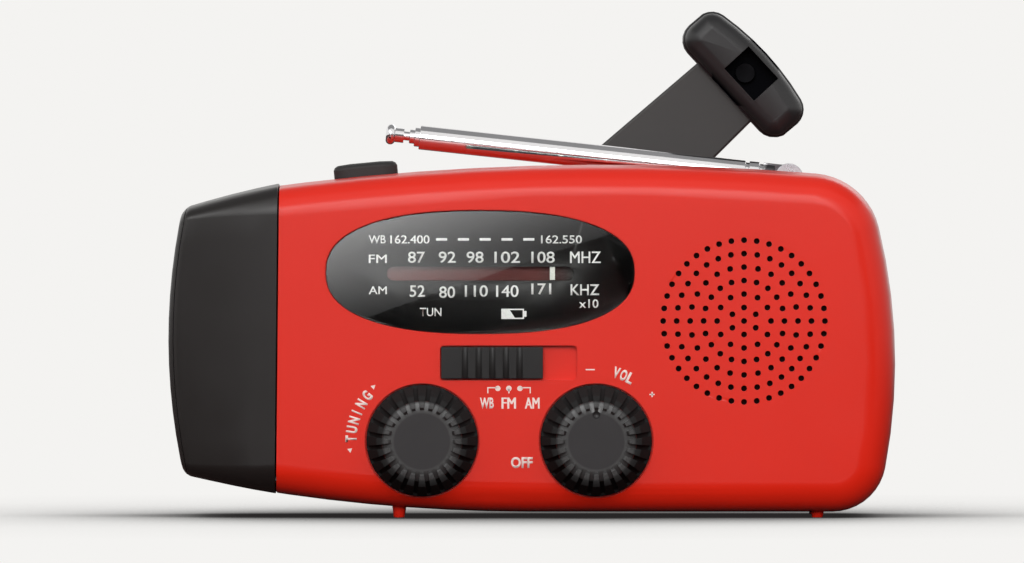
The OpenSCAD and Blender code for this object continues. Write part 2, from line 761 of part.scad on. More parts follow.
module torch_switch() {
    color("#3a3a3c") on_crown(button_x, 0) translate([0, 0, -skirt_z - 1 - stem_drop - button_travel - 0.2]) {
        translate([-3, board_back_y, -6.5]) cube([6, switch_box_d, 5]);
        translate([0, switch_plunger_y, -1.5]) cylinder(h = 1.5, r = 1.4);
    }
}

module dial_window() {
    color("#3b3d40") slab(front_y + window_sunk, front_y + window_sunk + window_t) dial_shape(0);
}

module dial_plate() {
    back = front_y + window_sunk + window_t;
    color("#1b1b1c") union() {
        difference() {
            slab(back + 0.03, back + 0.03 + plate_t) dial_shape(ledge + play);
            slab(back - 1, back + 2) round_rect([dial_x, slot_z], scale_l, scale_h, scale_h / 2 - 0.02);
        }
        // Backing strip behind the pointer slot, on two feet
        slab(strip_y, strip_y + strip_t) translate([dial_x, slot_z])
            square([scale_l + 7, scale_h + 0.6], center = true);
        for (s = [-1, 1]) slab(back + plate_t, strip_y + 0.1) translate([dial_x + s * (scale_l / 2 + 2.4), slot_z])
            square([2.2, scale_h], center = true);
    }
}

module dial_pointer() {
    blade_y = front_y + window_sunk + window_t + 0.15;
    color("#f2f2ee") difference() {
        union() {
            // Blade in the slot, hooked over the backing strip
            block([pointer_x - pointer_w / 2, blade_y, slot_z - scale_h / 2 + 0.1],
                [pointer_x + pointer_w / 2, blade_y + 0.4, slot_z + scale_h / 2 - 0.1]);
            block([pointer_x - pointer_w / 2, blade_y + 0.2, slot_z - 0.9],
                [pointer_x + pointer_w / 2, strip_y - 0.12, slot_z + 0.9]);
            block([pointer_x - pointer_w / 2, strip_y - 0.22, slot_z - 0.9],
                [pointer_x + pointer_w / 2, strip_y - 0.12, slot_z + scale_h / 2 + 1.6]);
            block([pointer_x - 3, strip_y - 0.2, slot_z + scale_h / 2 + 0.6],
                [pointer_x + 3, drive_y + 0.5, slot_z + scale_h / 2 + 1.6]);
            // Carriage plate, the rack's back and the eye on the rail
            block([pointer_x - 4, drive_y, rack_z + 2], [pointer_x + 4, drive_y + drive_t, rail_z]);
            block([upper_c.x - rack_left, drive_y, rack_z + 0.75],
                [upper_c.x + rack_right, drive_y + drive_t, rack_z + 3]);
            translate([pointer_x - 4, rail_y, rail_z]) rotate([0, 90, 0]) cylinder(h = 8, r = rail_r + 0.8);
            // Rack teeth
            for (i = [-1:14]) slab(drive_y, drive_y + drive_t)
                translate([upper_c.x + i * module_d * PI, rack_z]) polygon([[-0.66, 0.76], [-0.42, 0],
                    [-0.2, -0.55], [0.2, -0.55], [0.42, 0], [0.66, 0.76]]);
        }
        translate([pointer_x - 5, rail_y, rail_z]) rotate([0, 90, 0]) cylinder(h = 10, r = rail_r + fit);
    }
}

module pointer_rail() {
    color(steel) translate([rail_post_x[0] - 0.8, rail_y, rail_z]) rotate([0, 90, 0])
        cylinder(h = rail_post_x[1] - rail_post_x[0] + 3.2, r = rail_r, $fn = 32);
}

// Ribbed knob, with or without a position mark
module knob(x, mark) {
    face = knob_t - face_sunk;
    crown_out = face_r + 1.9;
    floor_r = face_r - 0.5;
    color(charcoal) outward([x, knob_z], knob_back_y) difference() {
        rotate_extrude() polygon([[0, 0], [knob_r, 0], [knob_r, 0.9], [knob_r - 0.2, 1.5], [crown_out + 0.5, face - 0.1],
            [crown_out, knob_t - 0.15], [crown_out - 0.4, knob_t], [face_r + 0.3, knob_t], [face_r, knob_t - 0.25],
            [face_r - 0.1, face], [0, face]]);
        // Grooves across the crown and down the flank, which leave the ribs
        for (i = [0:knob_ribs - 1]) rotate([90, 0, (i + 0.5) * 360 / knob_ribs]) translate([0, 0, -groove_w / 2])
            linear_extrude(groove_w) polygon([[floor_r, face], [crown_out - 0.5, face - 0.5], [knob_r - 0.6, 1.3],
                [knob_r + 1, 1.3], [knob_r + 1, knob_t + 1], [floor_r, knob_t + 1]]);
        translate([0, 0, -1]) cylinder(h = knob_bore_d + 1, r = shaft_r + 0.03);
        if (mark) translate([0, face_r - 1, face + 0.3]) sphere(0.75, $fn = 32);
    }
}

module tuning_knob() knob(tuning_x, false);
module volume_knob() knob(volume_x, true);

module control_shaft(x) {
    color(steel) bar([x, knob_z], shaft_front_y, board_y - 1, shaft_r);
}

module tuning_shaft() control_shaft(tuning_x);
module volume_shaft() control_shaft(volume_x);

module tuning_capacitor() {
    color("#e6e2d8") difference() {
        block([tuning_x - 7.5, board_y - 5, knob_z - 7.5], [tuning_x + 7.5, board_y, knob_z + 7.5]);
        bar([tuning_x, knob_z], board_y - 6, board_y - 0.8, shaft_r + fit);
    }
}

module volume_pot() {
    color("#5a5c60") difference() {
        bar([volume_x, knob_z], board_y - 6.4, board_y, 8);
        bar([volume_x, knob_z], board_y - 7, board_y - 0.8, shaft_r + fit);
    }
}

module dial_gear() {
    color("#e9e7df") difference() {
        gear([tuning_x, knob_z], drive_y, drive_t, dial_gear_teeth, module_d, dial_gear_phase);
        bar([tuning_x, knob_z], drive_y - 1, drive_y + 3, shaft_r + 0.02);
    }
}

// Small gear of the dial drive, on its pin
module dial_pinion(c, teeth, phase) {
    color("#e9e7df") difference() {
        gear(c, drive_y, drive_t, teeth, module_d, phase);
        bar(c, drive_y - 1, drive_y + 3, pin_r + fit);
    }
}

module dial_pinion_lower() dial_pinion(lower_c, lower_teeth, lower_phase);
module dial_pinion_upper() dial_pinion(upper_c, upper_teeth, upper_phase);

module dial_pins() {
    color(steel) for (c = [lower_c, upper_c]) {
        bar(c, drive_y - 0.4, board_y, pin_r);
        bar(c, drive_y + drive_t + 0.2, board_y, pin_r + 0.7);
    }
}

module band_slider() {
    color(charcoal) difference() {
        union() {
            slab(front_y - slider_out, front_y + slot_d - 0.3) translate([slider_x, switch_z - slider_h / 2])
                square([slider_l, slider_h]);
            block([stem_x, front_y + slot_d - 0.4, switch_z - stem_h / 2],
                [stem_x + stem_w, board_y - 2, switch_z + stem_h / 2]);
        }
        // Finger grooves across the middle
        for (x = groove_x) translate([slider_x + x, front_y - slider_out - 0.25, switch_z - slider_h])
            cylinder(h = 2 * slider_h, r = 0.6, $fn = 24);
    }
}

module band_switch() {
    color("#b9bcc0") difference() {
        block([switch_x[0], board_y - switch_d, switch_z - 3], [switch_x[1], board_y, switch_z + 3]);
        block([stem_x - gap, board_y - switch_d - 1, switch_z - stem_h / 2 - gap],
            [stem_x + stem_w + slider_travel + gap, board_y - 1.6, switch_z + stem_h / 2 + gap]);
    }
}

module speaker_frame() {
    color("#8f9498") inward([speaker_x, speaker_z], speaker_y) difference() {
        rotate_extrude() polygon([[speaker_r - 2.2, 0], [speaker_r, 0], [speaker_r, 0.8], [speaker_r - 1.4, 0.8],
            [speaker_r - 3.4, 3.2], [magnet_r + 0.8, speaker_d], [4.4, speaker_d], [4.4, speaker_d - 0.8],
            [magnet_r + 0.4, speaker_d - 0.8], [speaker_r - 4.2, 3], [speaker_r - 2.2, 0.8]]);
        // Windows of the basket
        for (i = [0:5]) rotate(i * 60) translate([magnet_r + 1.6, -3, 3.4]) cube([3.2, 6, speaker_d - 4.6]);
    }
}

module speaker_cone() {
    color("#26272a") inward([speaker_x, speaker_z], speaker_y) {
        // Cone with its roll surround, dust cap and coil former
        rotate_extrude() polygon([[3, 3.4], [speaker_r - 5.2, 0.9], [speaker_r - 4.4, 0.35], [speaker_r - 3.4, 0.35],
            [speaker_r - 2.8, 0.7], [speaker_r - 2.8, 1], [speaker_r - 3.5, 0.7], [speaker_r - 4.3, 0.7],
            [speaker_r - 5, 1.3], [3.3, 3.8], [3.3, speaker_d - 1.2], [3, speaker_d - 1.2]]);
        rotate_extrude() polygon([[0, 2.2], [2.2, 2.5], [3.8, 3.3], [3.8, 3.6], [2.2, 2.85], [0, 2.55]]);
    }
}

module speaker_magnet() {
    color("#55585c") inward([speaker_x, speaker_z], speaker_y + speaker_d) difference() {
        cylinder(h = magnet_t, r = magnet_r);
        translate([0, 0, -1]) cylinder(h = magnet_t - 0.2, r = 4.3);
    }
}

module speaker_cloth() {
    color("#151515") bar([speaker_x, speaker_z], inner_front_y + 0.02, inner_front_y + cloth_t, speaker_r - 0.4);
}

module main_board() {
    color(board_green) difference() {
        union() {
            block([board_x[0], board_y, board_z[0]], [board_x[1], board_back_y, board_z[1]]);
            // Tuner chip, crystal and capacitors
            block([-4, board_back_y, 34], [4, board_back_y + 1.4, 42]);
            block([6, board_back_y, 22], [13, board_back_y + 1, 27]);
            for (p = [[-33, 34], [-33, 40], [12, 37]]) bar(p, board_back_y, board_back_y + 5, 2.5);
            for (z = [12:5:32]) block([0, board_back_y, z], [3.2, board_back_y + 1.1, z + 1.6]);
        }
        for (c = standoffs) bar(c, board_y - 1, board_back_y + 1, screw_r + 0.1, $fn = 32);
    }
}

module battery_pack() {
    color("#3f6fae") union() {
        slab(battery_y, battery_y + battery_d) round_rect([battery_x, battery_z], battery_l, battery_h, 2.5);
        block([battery_x - battery_l / 2 - 1, battery_y + 2, battery_z + 2],
            [battery_x - battery_l / 2 + 1, battery_y + 6, battery_z + battery_h / 2 - 3]);
    }
}

module ferrite_rod() {
    r = 4;
    color("#4a3f3a") translate([-20, board_back_y + play + r + 0.9, board_z[1] - 6]) rotate([0, 90, 0]) union() {
        cylinder(h = 50, r = r);
        translate([0, 0, 18]) cylinder(h = 14, r = r + 0.6);
        for (z = [17.2, 32]) translate([0, 0, z]) cylinder(h = 0.8, r = r + 0.9);
    }
}

// Layer of the solar panel from z up, smaller by inset
module panel_layer(z, t, inset) {
    block([crest_x - solar_l / 2 + inset, solar_y - solar_w / 2 + inset, z],
        [crest_x + solar_l / 2 - inset, solar_y + solar_w / 2 - inset, z + t]);
}

module solar_board() {
    color(board_green) panel_layer(solar_top_z - cover_t - cell_t - solar_board_t, solar_board_t, 0);
}

module solar_cells() {
    step = (solar_l - 1.6) / cell_n;
    color("#1c2440") for (i = [0:cell_n - 1])
        block([crest_x - solar_l / 2 + 0.8 + i * step + 0.2, solar_y - solar_w / 2 + 0.8, solar_top_z - cover_t - cell_t],
            [crest_x - solar_l / 2 + 0.8 + (i + 1) * step - 0.2, solar_y + solar_w / 2 - 0.8, solar_top_z - cover_t]);
}

module solar_cover() {
    color("#20242c") panel_layer(solar_top_z - cover_t, cover_t, 0);
}

module antenna_bracket() {
    color(steel) on_antenna() difference() {
        union() {
            translate([-4, -channel_r + 0.2, -3.9]) cube([7.2, 2 * channel_r - 0.4, 0.8]);
            for (y = [-tab_t / 2 - 0.15 - ear_t, tab_t / 2 + 0.15]) translate([0, y, 0]) {
                translate([-ear_r, 0, -3.5]) cube([2 * ear_r, ear_t, 3.5]);
                rotate([-90, 0, 0]) cylinder(h = ear_t, r = ear_r);
            }
        }
        translate([0, -5, 0]) rotate([-90, 0, 0]) cylinder(h = 10, r = antenna_pin_r + 0.02);
    }
}

module antenna_pin() {
    l = tab_t + 2 * (ear_t + 0.15);
    color(steel) on_antenna() translate([0, -l / 2, 0]) rotate([-90, 0, 0]) cylinder(h = l, r = antenna_pin_r);
}

module antenna_base() {
    color(steel) on_antenna() difference() {
        union() {
            translate([0, -tab_t / 2, 0]) rotate([-90, 0, 0]) cylinder(h = tab_t, r = antenna_r);
            translate([-5, -tab_t / 2, -antenna_r]) cube([5, tab_t, 2 * antenna_r]);
            antenna_bar(ear_r + 0.3, antenna_l - tip_l[0], antenna_r);
        }
        translate([0, -5, 0]) rotate([-90, 0, 0]) cylinder(h = 10, r = antenna_pin_r + fit);
        antenna_bar(11.5, antenna_l, bore_r[0]);
        // Turned grooves of the ferrule
        for (x = [5.1, 7.6]) translate([-x - 0.35, 0, 0]) rotate([0, 90, 0]) difference() {
            cylinder(h = 0.7, r = antenna_r + 1);
            translate([0, 0, -1]) cylinder(h = 3, r = antenna_r - 0.3);
        }
    }
}

// Telescopic section i, hollow for the next
module antenna_section(i) {
    color(steel) on_antenna() difference() {
        antenna_bar(12, antenna_l - tip_l[i], tube_r[i]);
        antenna_bar(11, antenna_l, bore_r[i]);
    }
}

module antenna_section_1() antenna_section(1);
module antenna_section_2() antenna_section(2);

module antenna_rod() {
    color(steel) on_antenna() union() {
        antenna_bar(12, antenna_l - 1, tube_r[3]);
        antenna_bar(antenna_l - tip_l[3], antenna_l - tip_t + 0.1, 1.3);
        // Rounded button on the tip
        translate([-antenna_l, 0, 0]) rotate([0, 90, 0]) rotate_extrude() polygon(concat([[0, 0]],
            arc([tip_r - tip_t / 2, tip_t / 2], tip_t / 2, -90, 90, 8), [[tip_r - tip_t / 2, tip_t], [0, tip_t]]));
    }
}

module crank_bush() {
    color("#c8a060") difference() {
        union() {
            bar([hub_x, hub_z], inner_back_y - 2.2, back_y + boss_out, bush_r);
            bar([hub_x, hub_z], back_y - 0.48, back_y + boss_out, bush_r + 1);
        }
        bar([hub_x, hub_z], inner_back_y - 5, back_y + 5, axle_r + fit);
    }
}

module crank_axle() {
    color(steel) difference() {
        bar([hub_x, hub_z], plate_y - 1, arm_y, axle_r);
        bar([hub_x, hub_z], arm_y - 6.5, arm_y + 1, screw_r + 0.02);
    }
}

module crank_gear() {
    color("#e9e7df") difference() {
        gear([hub_x, hub_z], crank_gear_y, crank_gear_t, crank_teeth, module_d, 0);
        bar([hub_x, hub_z], crank_gear_y - 1, crank_gear_y + 5, axle_r + 0.02);
        for (i = [0:4]) bar([hub_x, hub_z] + 7 * [cos(i * 72), sin(i * 72)], crank_gear_y - 1,
            crank_gear_y + 5, 2.2, $fn = 32);
    }
}

module crank_hub() {
    color(charcoal) difference() {
        bar([hub_x, hub_z], back_y + boss_out + gap, arm_y, hub_r);
        bar([hub_x, hub_z], back_y, arm_y + 1, axle_r + 0.02);
    }
}

module crank_arm() {
    root_r = arm_root_w / 2;
    tip_y = crank_r + grip_in - 0.4;
    lean = asin((root_r - arm_w / 2) / crank_r);
    color("#4f4e4c") on_arm(arm_y) difference() {
        linear_extrude(arm_t) union() {
            circle(root_r);
            polygon(concat([[root_r * cos(lean), root_r * sin(lean)]],
                arc([arm_w / 2 - tip_corner_r, tip_y - tip_corner_r], tip_corner_r, 0, 90, 6),
                arc([tip_corner_r - arm_w / 2, tip_y - tip_corner_r], tip_corner_r, 90, 180, 6),
                [[-root_r * cos(lean), root_r * sin(lean)]]));
        }
        translate([0, 0, -1]) cylinder(h = arm_t + 2, r = screw_r + 0.1);
        translate([0, crank_r, -1]) cylinder(h = arm_t + 2, r = sleeve_r + fit);
    }
}

module crank_screw() {
    color(steel) union() {
        bar([hub_x, hub_z], arm_y - 6, arm_y + arm_t + 0.5, screw_r);
        bar([hub_x, hub_z], arm_y + arm_t, arm_y + arm_t + 1.6, screw_head_r + 0.8);
    }
}

// Outline of the grip, moved inwards: an oblong across the arm with a bowed outer side
function grip_outline(inset) =
    let(c = grip_corner_r, x = grip_l / 2 - c, bow_c = [0, grip_out - grip_bow_r],
        y = bow_c.y + sqrt((grip_bow_r - c)^2 - x^2), a = heading([x, y] - bow_c))
    concat(arc([x, c - grip_in], c - inset, -90, 0, 5), arc([x, y], c - inset, 0, a, 5),
        arc(bow_c, grip_bow_r - inset, a, 180 - a, 6), arc([-x, y], c - inset, 180 - a, 180, 5),
        arc([-x, c - grip_in], c - inset, 180, 270, 5), [[-x, inset - grip_in]]);

// Block of the grip's outline through levels of [inset, height], from the highest down
module grip_block(levels) {
    loft([for (p = levels) [for (q = grip_outline(p.x)) [q.x, q.y, p.y]]]);
}

module crank_grip() {
    color(charcoal) on_grip(grip_y) difference() {
        union() {
            grip_block([[1.6, grip_d], [0.5, grip_d - 0.5], [0, grip_d - 1.6], [0, 0.3], [0.3, 0]]);
            translate([0, 0, -gap - arm_t - gap]) cylinder(h = arm_t + 2 * gap + 1, r = sleeve_r);
        }
        translate([0, 0, -5]) cylinder(h = 15, r = screw_r + 0.02);
    }
}

module grip_cap() {
    color(charcoal) on_grip(back_y + cap_gap) difference() {
        grip_block([[0.3, cap_t], [0, cap_t - 0.3], [0, cap_t - 1.5], [0.35, cap_t - 1.8], [0.35, 3.2], [0.5, 2.3],
            [0.9, 1.5], [1.5, 0.8], [2.3, 0.3], [3.2, 0]]);
        translate([0.8 - pocket.x / 2, 0.7 - pocket.y / 2, -1])
            cube([pocket.x, pocket.y, cap_t - cap_floor + 1]);
        translate([0, 0, -1]) cylinder(h = cap_t + 2, r = screw_r + 0.1);
    }
}

module grip_screw() {
    color(steel) on_grip(back_y + cap_gap + cap_t - cap_floor) union() {
        translate([0, 0, -screw_head_t]) cylinder(h = screw_head_t, r = screw_head_r - 0.2);
        translate([0, 0, -0.5]) cylinder(h = 12, r = screw_r);
    }
}

module gear_plate() {
    color("#d7d9da") difference() {
        slab(plate_y, plate_y + gear_plate_t) translate([plate_x[0], plate_z[0]])
            square([plate_x[1] - plate_x[0], plate_z[1] - plate_z[0]]);
        bar([hub_x, hub_z], plate_y - 1, plate_y + 3, axle_r + fit);
        bar(idler_c, plate_y - 1, plate_y + 3, idler_pin_r + 0.02);
        bar(generator_c, plate_y - 1, plate_y + 3, 2);
        for (c = gear_posts) bar(c, plate_y - 1, plate_y + 3, screw_r + 0.1, $fn = 32);
    }
}

module idler_gear() {
    phase = mesh_phase(215 + 180, idler_pinion_teeth, crank_teeth, 0);
    color("#e9e7df") difference() {
        union() {
            gear(idler_c, wheel_y, wheel_t, idler_wheel_teeth, fine_module, 0);
            gear(idler_c, wheel_y + wheel_t - 0.1, crank_gear_y + crank_gear_t - wheel_y - wheel_t + 0.3,
                idler_pinion_teeth, module_d, phase);
        }
        bar(idler_c, wheel_y - 1, inner_back_y, idler_pin_r + fit);
    }
}

module idler_pin() {
    color(steel) bar(idler_c, plate_y, inner_back_y + 0.5, idler_pin_r);
}

module generator() {
    color("#8d9196") difference() {
        union() {
            bar(generator_c, plate_y - generator_d, plate_y, generator_r);
            bar(generator_c, plate_y - generator_d - 0.8, plate_y, generator_r - 3);
        }
        bar(generator_c, plate_y - generator_d + 1, plate_y + 1, generator_shaft_r + fit);
    }
}

module generator_pinion() {
    phase = mesh_phase(235 + 180, generator_teeth, idler_wheel_teeth, 0);
    color(steel) union() {
        gear(generator_c, wheel_y, wheel_t, generator_teeth, fine_module, phase);
        bar(generator_c, plate_y - generator_d + 1.2, wheel_y + wheel_t, generator_shaft_r);
    }
}

module port_board() {
    color(board_green) block([port_x - port_w / 2 + 1.5, plate_y + 0.6, port_board_z],
        [port_x + port_w / 2 - 1.5, inner_back_y - 1.8, port_board_z + port_board_t]);
}

// Socket shell with a tongue inside
module socket(x, w, h, y, tongue) {
    z = port_board_z + port_board_t + 0.05;
    difference() {
        block([x - w / 2, y, z], [x + w / 2, back_y - port_cover_t - gap, z + h]);
        block([x - w / 2 + 0.3, y + 1, z + 0.3], [x + w / 2 - 0.3, back_y, z + h - 0.3]);
    }
    block([x - w / 2 + 0.8, y + 0.5, z + h / 2], [x + w / 2 - 0.8, back_y - port_cover_t - 1, z + h / 2 + tongue]);
}

module usb_sockets() {
    color(steel) union() {
        socket(usb_a_x, usb_a.x, usb_a.y, plate_y + 0.7, 1.8);
        socket(micro_usb_x, micro_usb.x, micro_usb.y, 2, 0.6);
    }
}

module port_cover() {
    corner_r = 1.8;
    hinge_r = port_cover_t / 2;
    hinge_z = port_z - port_h / 2 + hinge_r;
    color("#1d1d1e") union() {
        difference() {
            slab(back_y - port_cover_t, back_y) round_rect([port_x, port_z], port_w, port_h, corner_r);
            block([port_x - port_w, back_y - 3, hinge_z - port_h], [port_x + port_w, back_y + 3, hinge_z]);
        }
        // Rolled lower edge, which the cover turns on
        translate([port_x - port_w / 2 + corner_r, back_y - hinge_r, hinge_z]) rotate([0, 90, 0])
            cylinder(h = port_w - 2 * corner_r, r = hinge_r, $fn = 32);
        // Finger lip along the top
        slab(back_y - 0.2, back_y + 0.6) round_rect([port_x, port_z + port_h / 2 - 1.2], 8, 1.4, 0.6);
    }
}

// Self-tapping screw with its head towards the back
module screw(c, y, l) {
    difference() {
        union() {
            bar(c, y - l, y + 0.1, screw_r, $fn = 32);
            bar(c, y, y + screw_head_t, screw_head_r, $fn = 32);
        }
        for (a = [0, 90]) translate([c.x, y + screw_head_t, c.y]) rotate([0, a, 0])
            cube([2.2, 1.2, 0.5], center = true);
    }
}

module screws() {
    color(steel) {
        for (c = screw_places) screw(c, back_y - screw_sink, 27);
        for (c = standoffs) screw(c, board_back_y, 5);
        for (c = gear_posts) mirror([0, 1, 0]) screw(c, -plate_y, 7);
    }
}

front_shell();
rear_shell();
torch_head();
torch_bezel();
torch_lens();
torch_reflector();
torch_leds();
torch_board();
torch_button();
torch_switch();
dial_window();
dial_plate();
dial_pointer();
pointer_rail();
tuning_knob();
tuning_shaft();
tuning_capacitor();
dial_gear();
dial_pinion_lower();
dial_pinion_upper();
dial_pins();
volume_knob();
volume_shaft();
volume_pot();
band_slider();
band_switch();
speaker_frame();
speaker_cone();
speaker_magnet();
speaker_cloth();
main_board();
battery_pack();
ferrite_rod();
solar_board();
solar_cells();
solar_cover();
antenna_bracket();
antenna_pin();
antenna_base();
antenna_section_1();
antenna_section_2();
antenna_rod();
crank_bush();
crank_axle();
crank_gear();
crank_hub();
crank_arm();
crank_screw();
crank_grip();
grip_cap();
grip_screw();
gear_plate();
idler_gear();
idler_pin();
generator();
generator_pinion();
port_board();
usb_sockets();
port_cover();
screws();
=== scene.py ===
# %% [markdown]
# # A wind-up emergency radio: its looks
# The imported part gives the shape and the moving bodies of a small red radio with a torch
# head, a tuning dial, a telescopic antenna and a crank. This notebook adds what a solid
# model lacks: moulded and chromed finishes, broken edges, printed legends, studio light.

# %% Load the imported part
import json
import math
import bpy
from mathutils import Matrix, Vector


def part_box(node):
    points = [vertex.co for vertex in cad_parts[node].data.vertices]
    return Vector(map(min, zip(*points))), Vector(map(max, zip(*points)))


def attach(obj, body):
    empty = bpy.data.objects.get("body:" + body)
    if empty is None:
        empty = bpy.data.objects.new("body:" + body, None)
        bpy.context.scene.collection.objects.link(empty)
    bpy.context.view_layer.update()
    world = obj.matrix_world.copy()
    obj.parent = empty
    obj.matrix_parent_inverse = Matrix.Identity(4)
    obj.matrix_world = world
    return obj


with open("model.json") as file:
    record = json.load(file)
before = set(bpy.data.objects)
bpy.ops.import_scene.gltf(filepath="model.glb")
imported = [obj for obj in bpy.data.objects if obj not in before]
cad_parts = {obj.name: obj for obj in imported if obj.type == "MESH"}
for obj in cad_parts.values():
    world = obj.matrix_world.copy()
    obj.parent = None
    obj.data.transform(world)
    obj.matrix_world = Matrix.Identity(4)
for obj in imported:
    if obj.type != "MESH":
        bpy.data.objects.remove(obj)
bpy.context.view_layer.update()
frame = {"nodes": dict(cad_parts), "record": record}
nodes = frame["nodes"]
MM = 0.001

# %% [markdown]
# ## Camera
# A long lens three metres away shows the face almost without perspective, as a catalogue
# picture does. It stands half a degree above level, so a sliver of the floor shows. The lens
# follows from the width in view.

# %% Camera
SENSOR = 36
camera_aim = Vector((-3.6, -30, 41.6)) * MM
rise = math.radians(0.5)
distance = 2970 * MM
camera_place = camera_aim + distance * Vector((0, -math.cos(rise), math.sin(rise)))
width_in_view = 180.0 * MM
camera_data = bpy.data.cameras.new("camera")
camera_data.sensor_width = SENSOR
camera_data.lens = SENSOR * distance / width_in_view
camera = bpy.data.objects.new("camera", camera_data)
camera.location = camera_place
camera.rotation_euler = (math.radians(90) - rise, 0, 0)
bpy.context.scene.collection.objects.link(camera)
bpy.context.scene.camera = camera
bpy.context.scene.view_settings.view_transform = "Standard"
print("lens", round(camera_data.lens, 1), "mm")

# %% [markdown]
# ## Materials from nodes
# Every finish is built by a few helpers. One helper lays out a node tree with object
# coordinates, so a pattern stays fixed on the piece. Colours are written as they look on a
# screen, 0 to 255, and turned into the linear values that a shader takes.

# %% Colour and node helpers
def paint(red, green, blue):
    """A screen colour, 0 to 255, as linear values."""
    def linear(v):
        v /= 255
        return v / 12.92 if v <= 0.04045 else ((v + 0.055) / 1.055) ** 2.4
    return (linear(red), linear(green), linear(blue), 1)


def shade(colour, factor):
    """A colour made darker or paler by a factor."""
    return tuple(min(1, c * factor) for c in colour[:3]) + (1,)


class Tree:
    """A material's node tree, filled from left to right."""

    def __init__(self, name):
        self.material = bpy.data.materials.new(name)
        self.material.use_nodes = True
        self.nodes = self.material.node_tree.nodes
        self.links = self.material.node_tree.links
        self.shader = self.nodes["Principled BSDF"]
        self.output = self.nodes["Material Output"]
        self.where = self.nodes.new("ShaderNodeTexCoord").outputs["Object"]

    def add(self, kind, **values):
        node = self.nodes.new(kind)
        for key, value in values.items():
            if hasattr(node, key):
                setattr(node, key, value)
            else:
                node.inputs[key.replace("_", " ")].default_value = value
        return node

    def link(self, source, target):
        self.links.new(source, target)

    def times(self, first, second):
        """The product of two values."""
        node = self.add("ShaderNodeMath", operation="MULTIPLY")
        self.link(first, node.inputs[0])
        self.link(second, node.inputs[1])
        return node.outputs[0]

    def power(self, value, exponent):
        """A value raised to a power."""
        node = self.add("ShaderNodeMath", operation="POWER")
        self.link(value, node.inputs[0])
        node.inputs[1].default_value = exponent
        return node.outputs[0]

    def parts(self, vector):
        """The X, Y and Z sockets of a vector."""
        node = self.add("ShaderNodeSeparateXYZ")
        self.link(vector, node.inputs[0])
        return node.outputs

    def noise(self, size_mm, detail=2):
        """Noise whose blotches are about size_mm across."""
        node = self.add("ShaderNodeTexNoise", Scale=1 / (size_mm * MM), Detail=detail)
        self.link(self.where, node.inputs["Vector"])
        return node.outputs["Fac"]

    def spread(self, value, low, high, start=0.3, end=0.7):
        """A value from start to end, spread over low to high."""
        node = self.add("ShaderNodeMapRange")
        for key, number in zip(("From Min", "From Max", "To Min", "To Max"),
                               (start, end, low, high)):
            node.inputs[key].default_value = number
        self.link(value, node.inputs["Value"])
        return node.outputs["Result"]

    def blend(self, value, first, second):
        """Two colours mixed by a value."""
        node = self.add("ShaderNodeMix", data_type="RGBA")
        node.inputs[6].default_value, node.inputs[7].default_value = first, second
        self.link(value, node.inputs[0])
        return node.outputs[2]

    def relief(self, value, height_mm, strength=1.0, below=None):
        """Bump of a real height."""
        node = self.add("ShaderNodeBump", Strength=strength, Distance=height_mm * MM)
        self.link(value, node.inputs["Height"])
        if below:
            self.link(below, node.inputs["Normal"])
        return node.outputs["Normal"]

    def set(self, **values):
        """Plain values on the shader's own sockets."""
        for key, value in values.items():
            self.shader.inputs[key.replace("_", " ")].default_value = value


# %% [markdown]
# ## Moulded plastic
# An injection moulding is never one flat colour: the pigment drifts a little over a few
# centimetres, the spark-eroded mould leaves a fine grain, and handling polishes it in
# patches. Three noises of those sizes drive colour, bump and roughness.

# %% Moulded plastic
def moulded(name, colour, roughness, grain_mm=0.25, grain_height=0.004, drift=0.05, gloss=0.5):
    tree = Tree(name)
    tree.link(tree.blend(tree.spread(tree.noise(28), 0, 1, 0.2, 0.8), shade(colour, 1 - drift),
                         shade(colour, 1 + drift)), tree.shader.inputs["Base Color"])
    tree.link(tree.spread(tree.noise(9, 3), roughness - 0.03, roughness + 0.03, 0.15, 0.85),
              tree.shader.inputs["Roughness"])
    waves = tree.relief(tree.noise(14, 1), 0.02, 0.5)
    tree.link(tree.relief(tree.noise(grain_mm, 3), grain_height, 0.6, waves),
              tree.shader.inputs["Normal"])
    tree.set(Specular_IOR_Level=gloss)
    return tree.material


# %% [markdown]
# ## Metal
# Bright plated tube, zinc-plated screws and brass differ in colour and in how far polishing
# marks blur the reflection. One noise varies the tone over centimetres, one the polish over
# millimetres, and a third gives marks a thousandth of a millimetre high.

# %% Metal
def metal(name, colour, roughness):
    tree = Tree(name)
    tree.link(tree.blend(tree.spread(tree.noise(12), 0, 1), shade(colour, 0.95),
                         shade(colour, 1.04)), tree.shader.inputs["Base Color"])
    tree.link(tree.spread(tree.noise(4, 4), roughness * 0.7, roughness * 1.4),
              tree.shader.inputs["Roughness"])
    tree.link(tree.relief(tree.noise(0.6, 3), 0.001, 0.5), tree.shader.inputs["Normal"])
    tree.set(Metallic=1.0)
    return tree.material


# %% [markdown]
# ## Clear parts
# Real glass in a path tracer blocks the lamps, so what is behind it goes dark. Clear parts
# therefore mix refraction with plain transparency for shadow rays only.

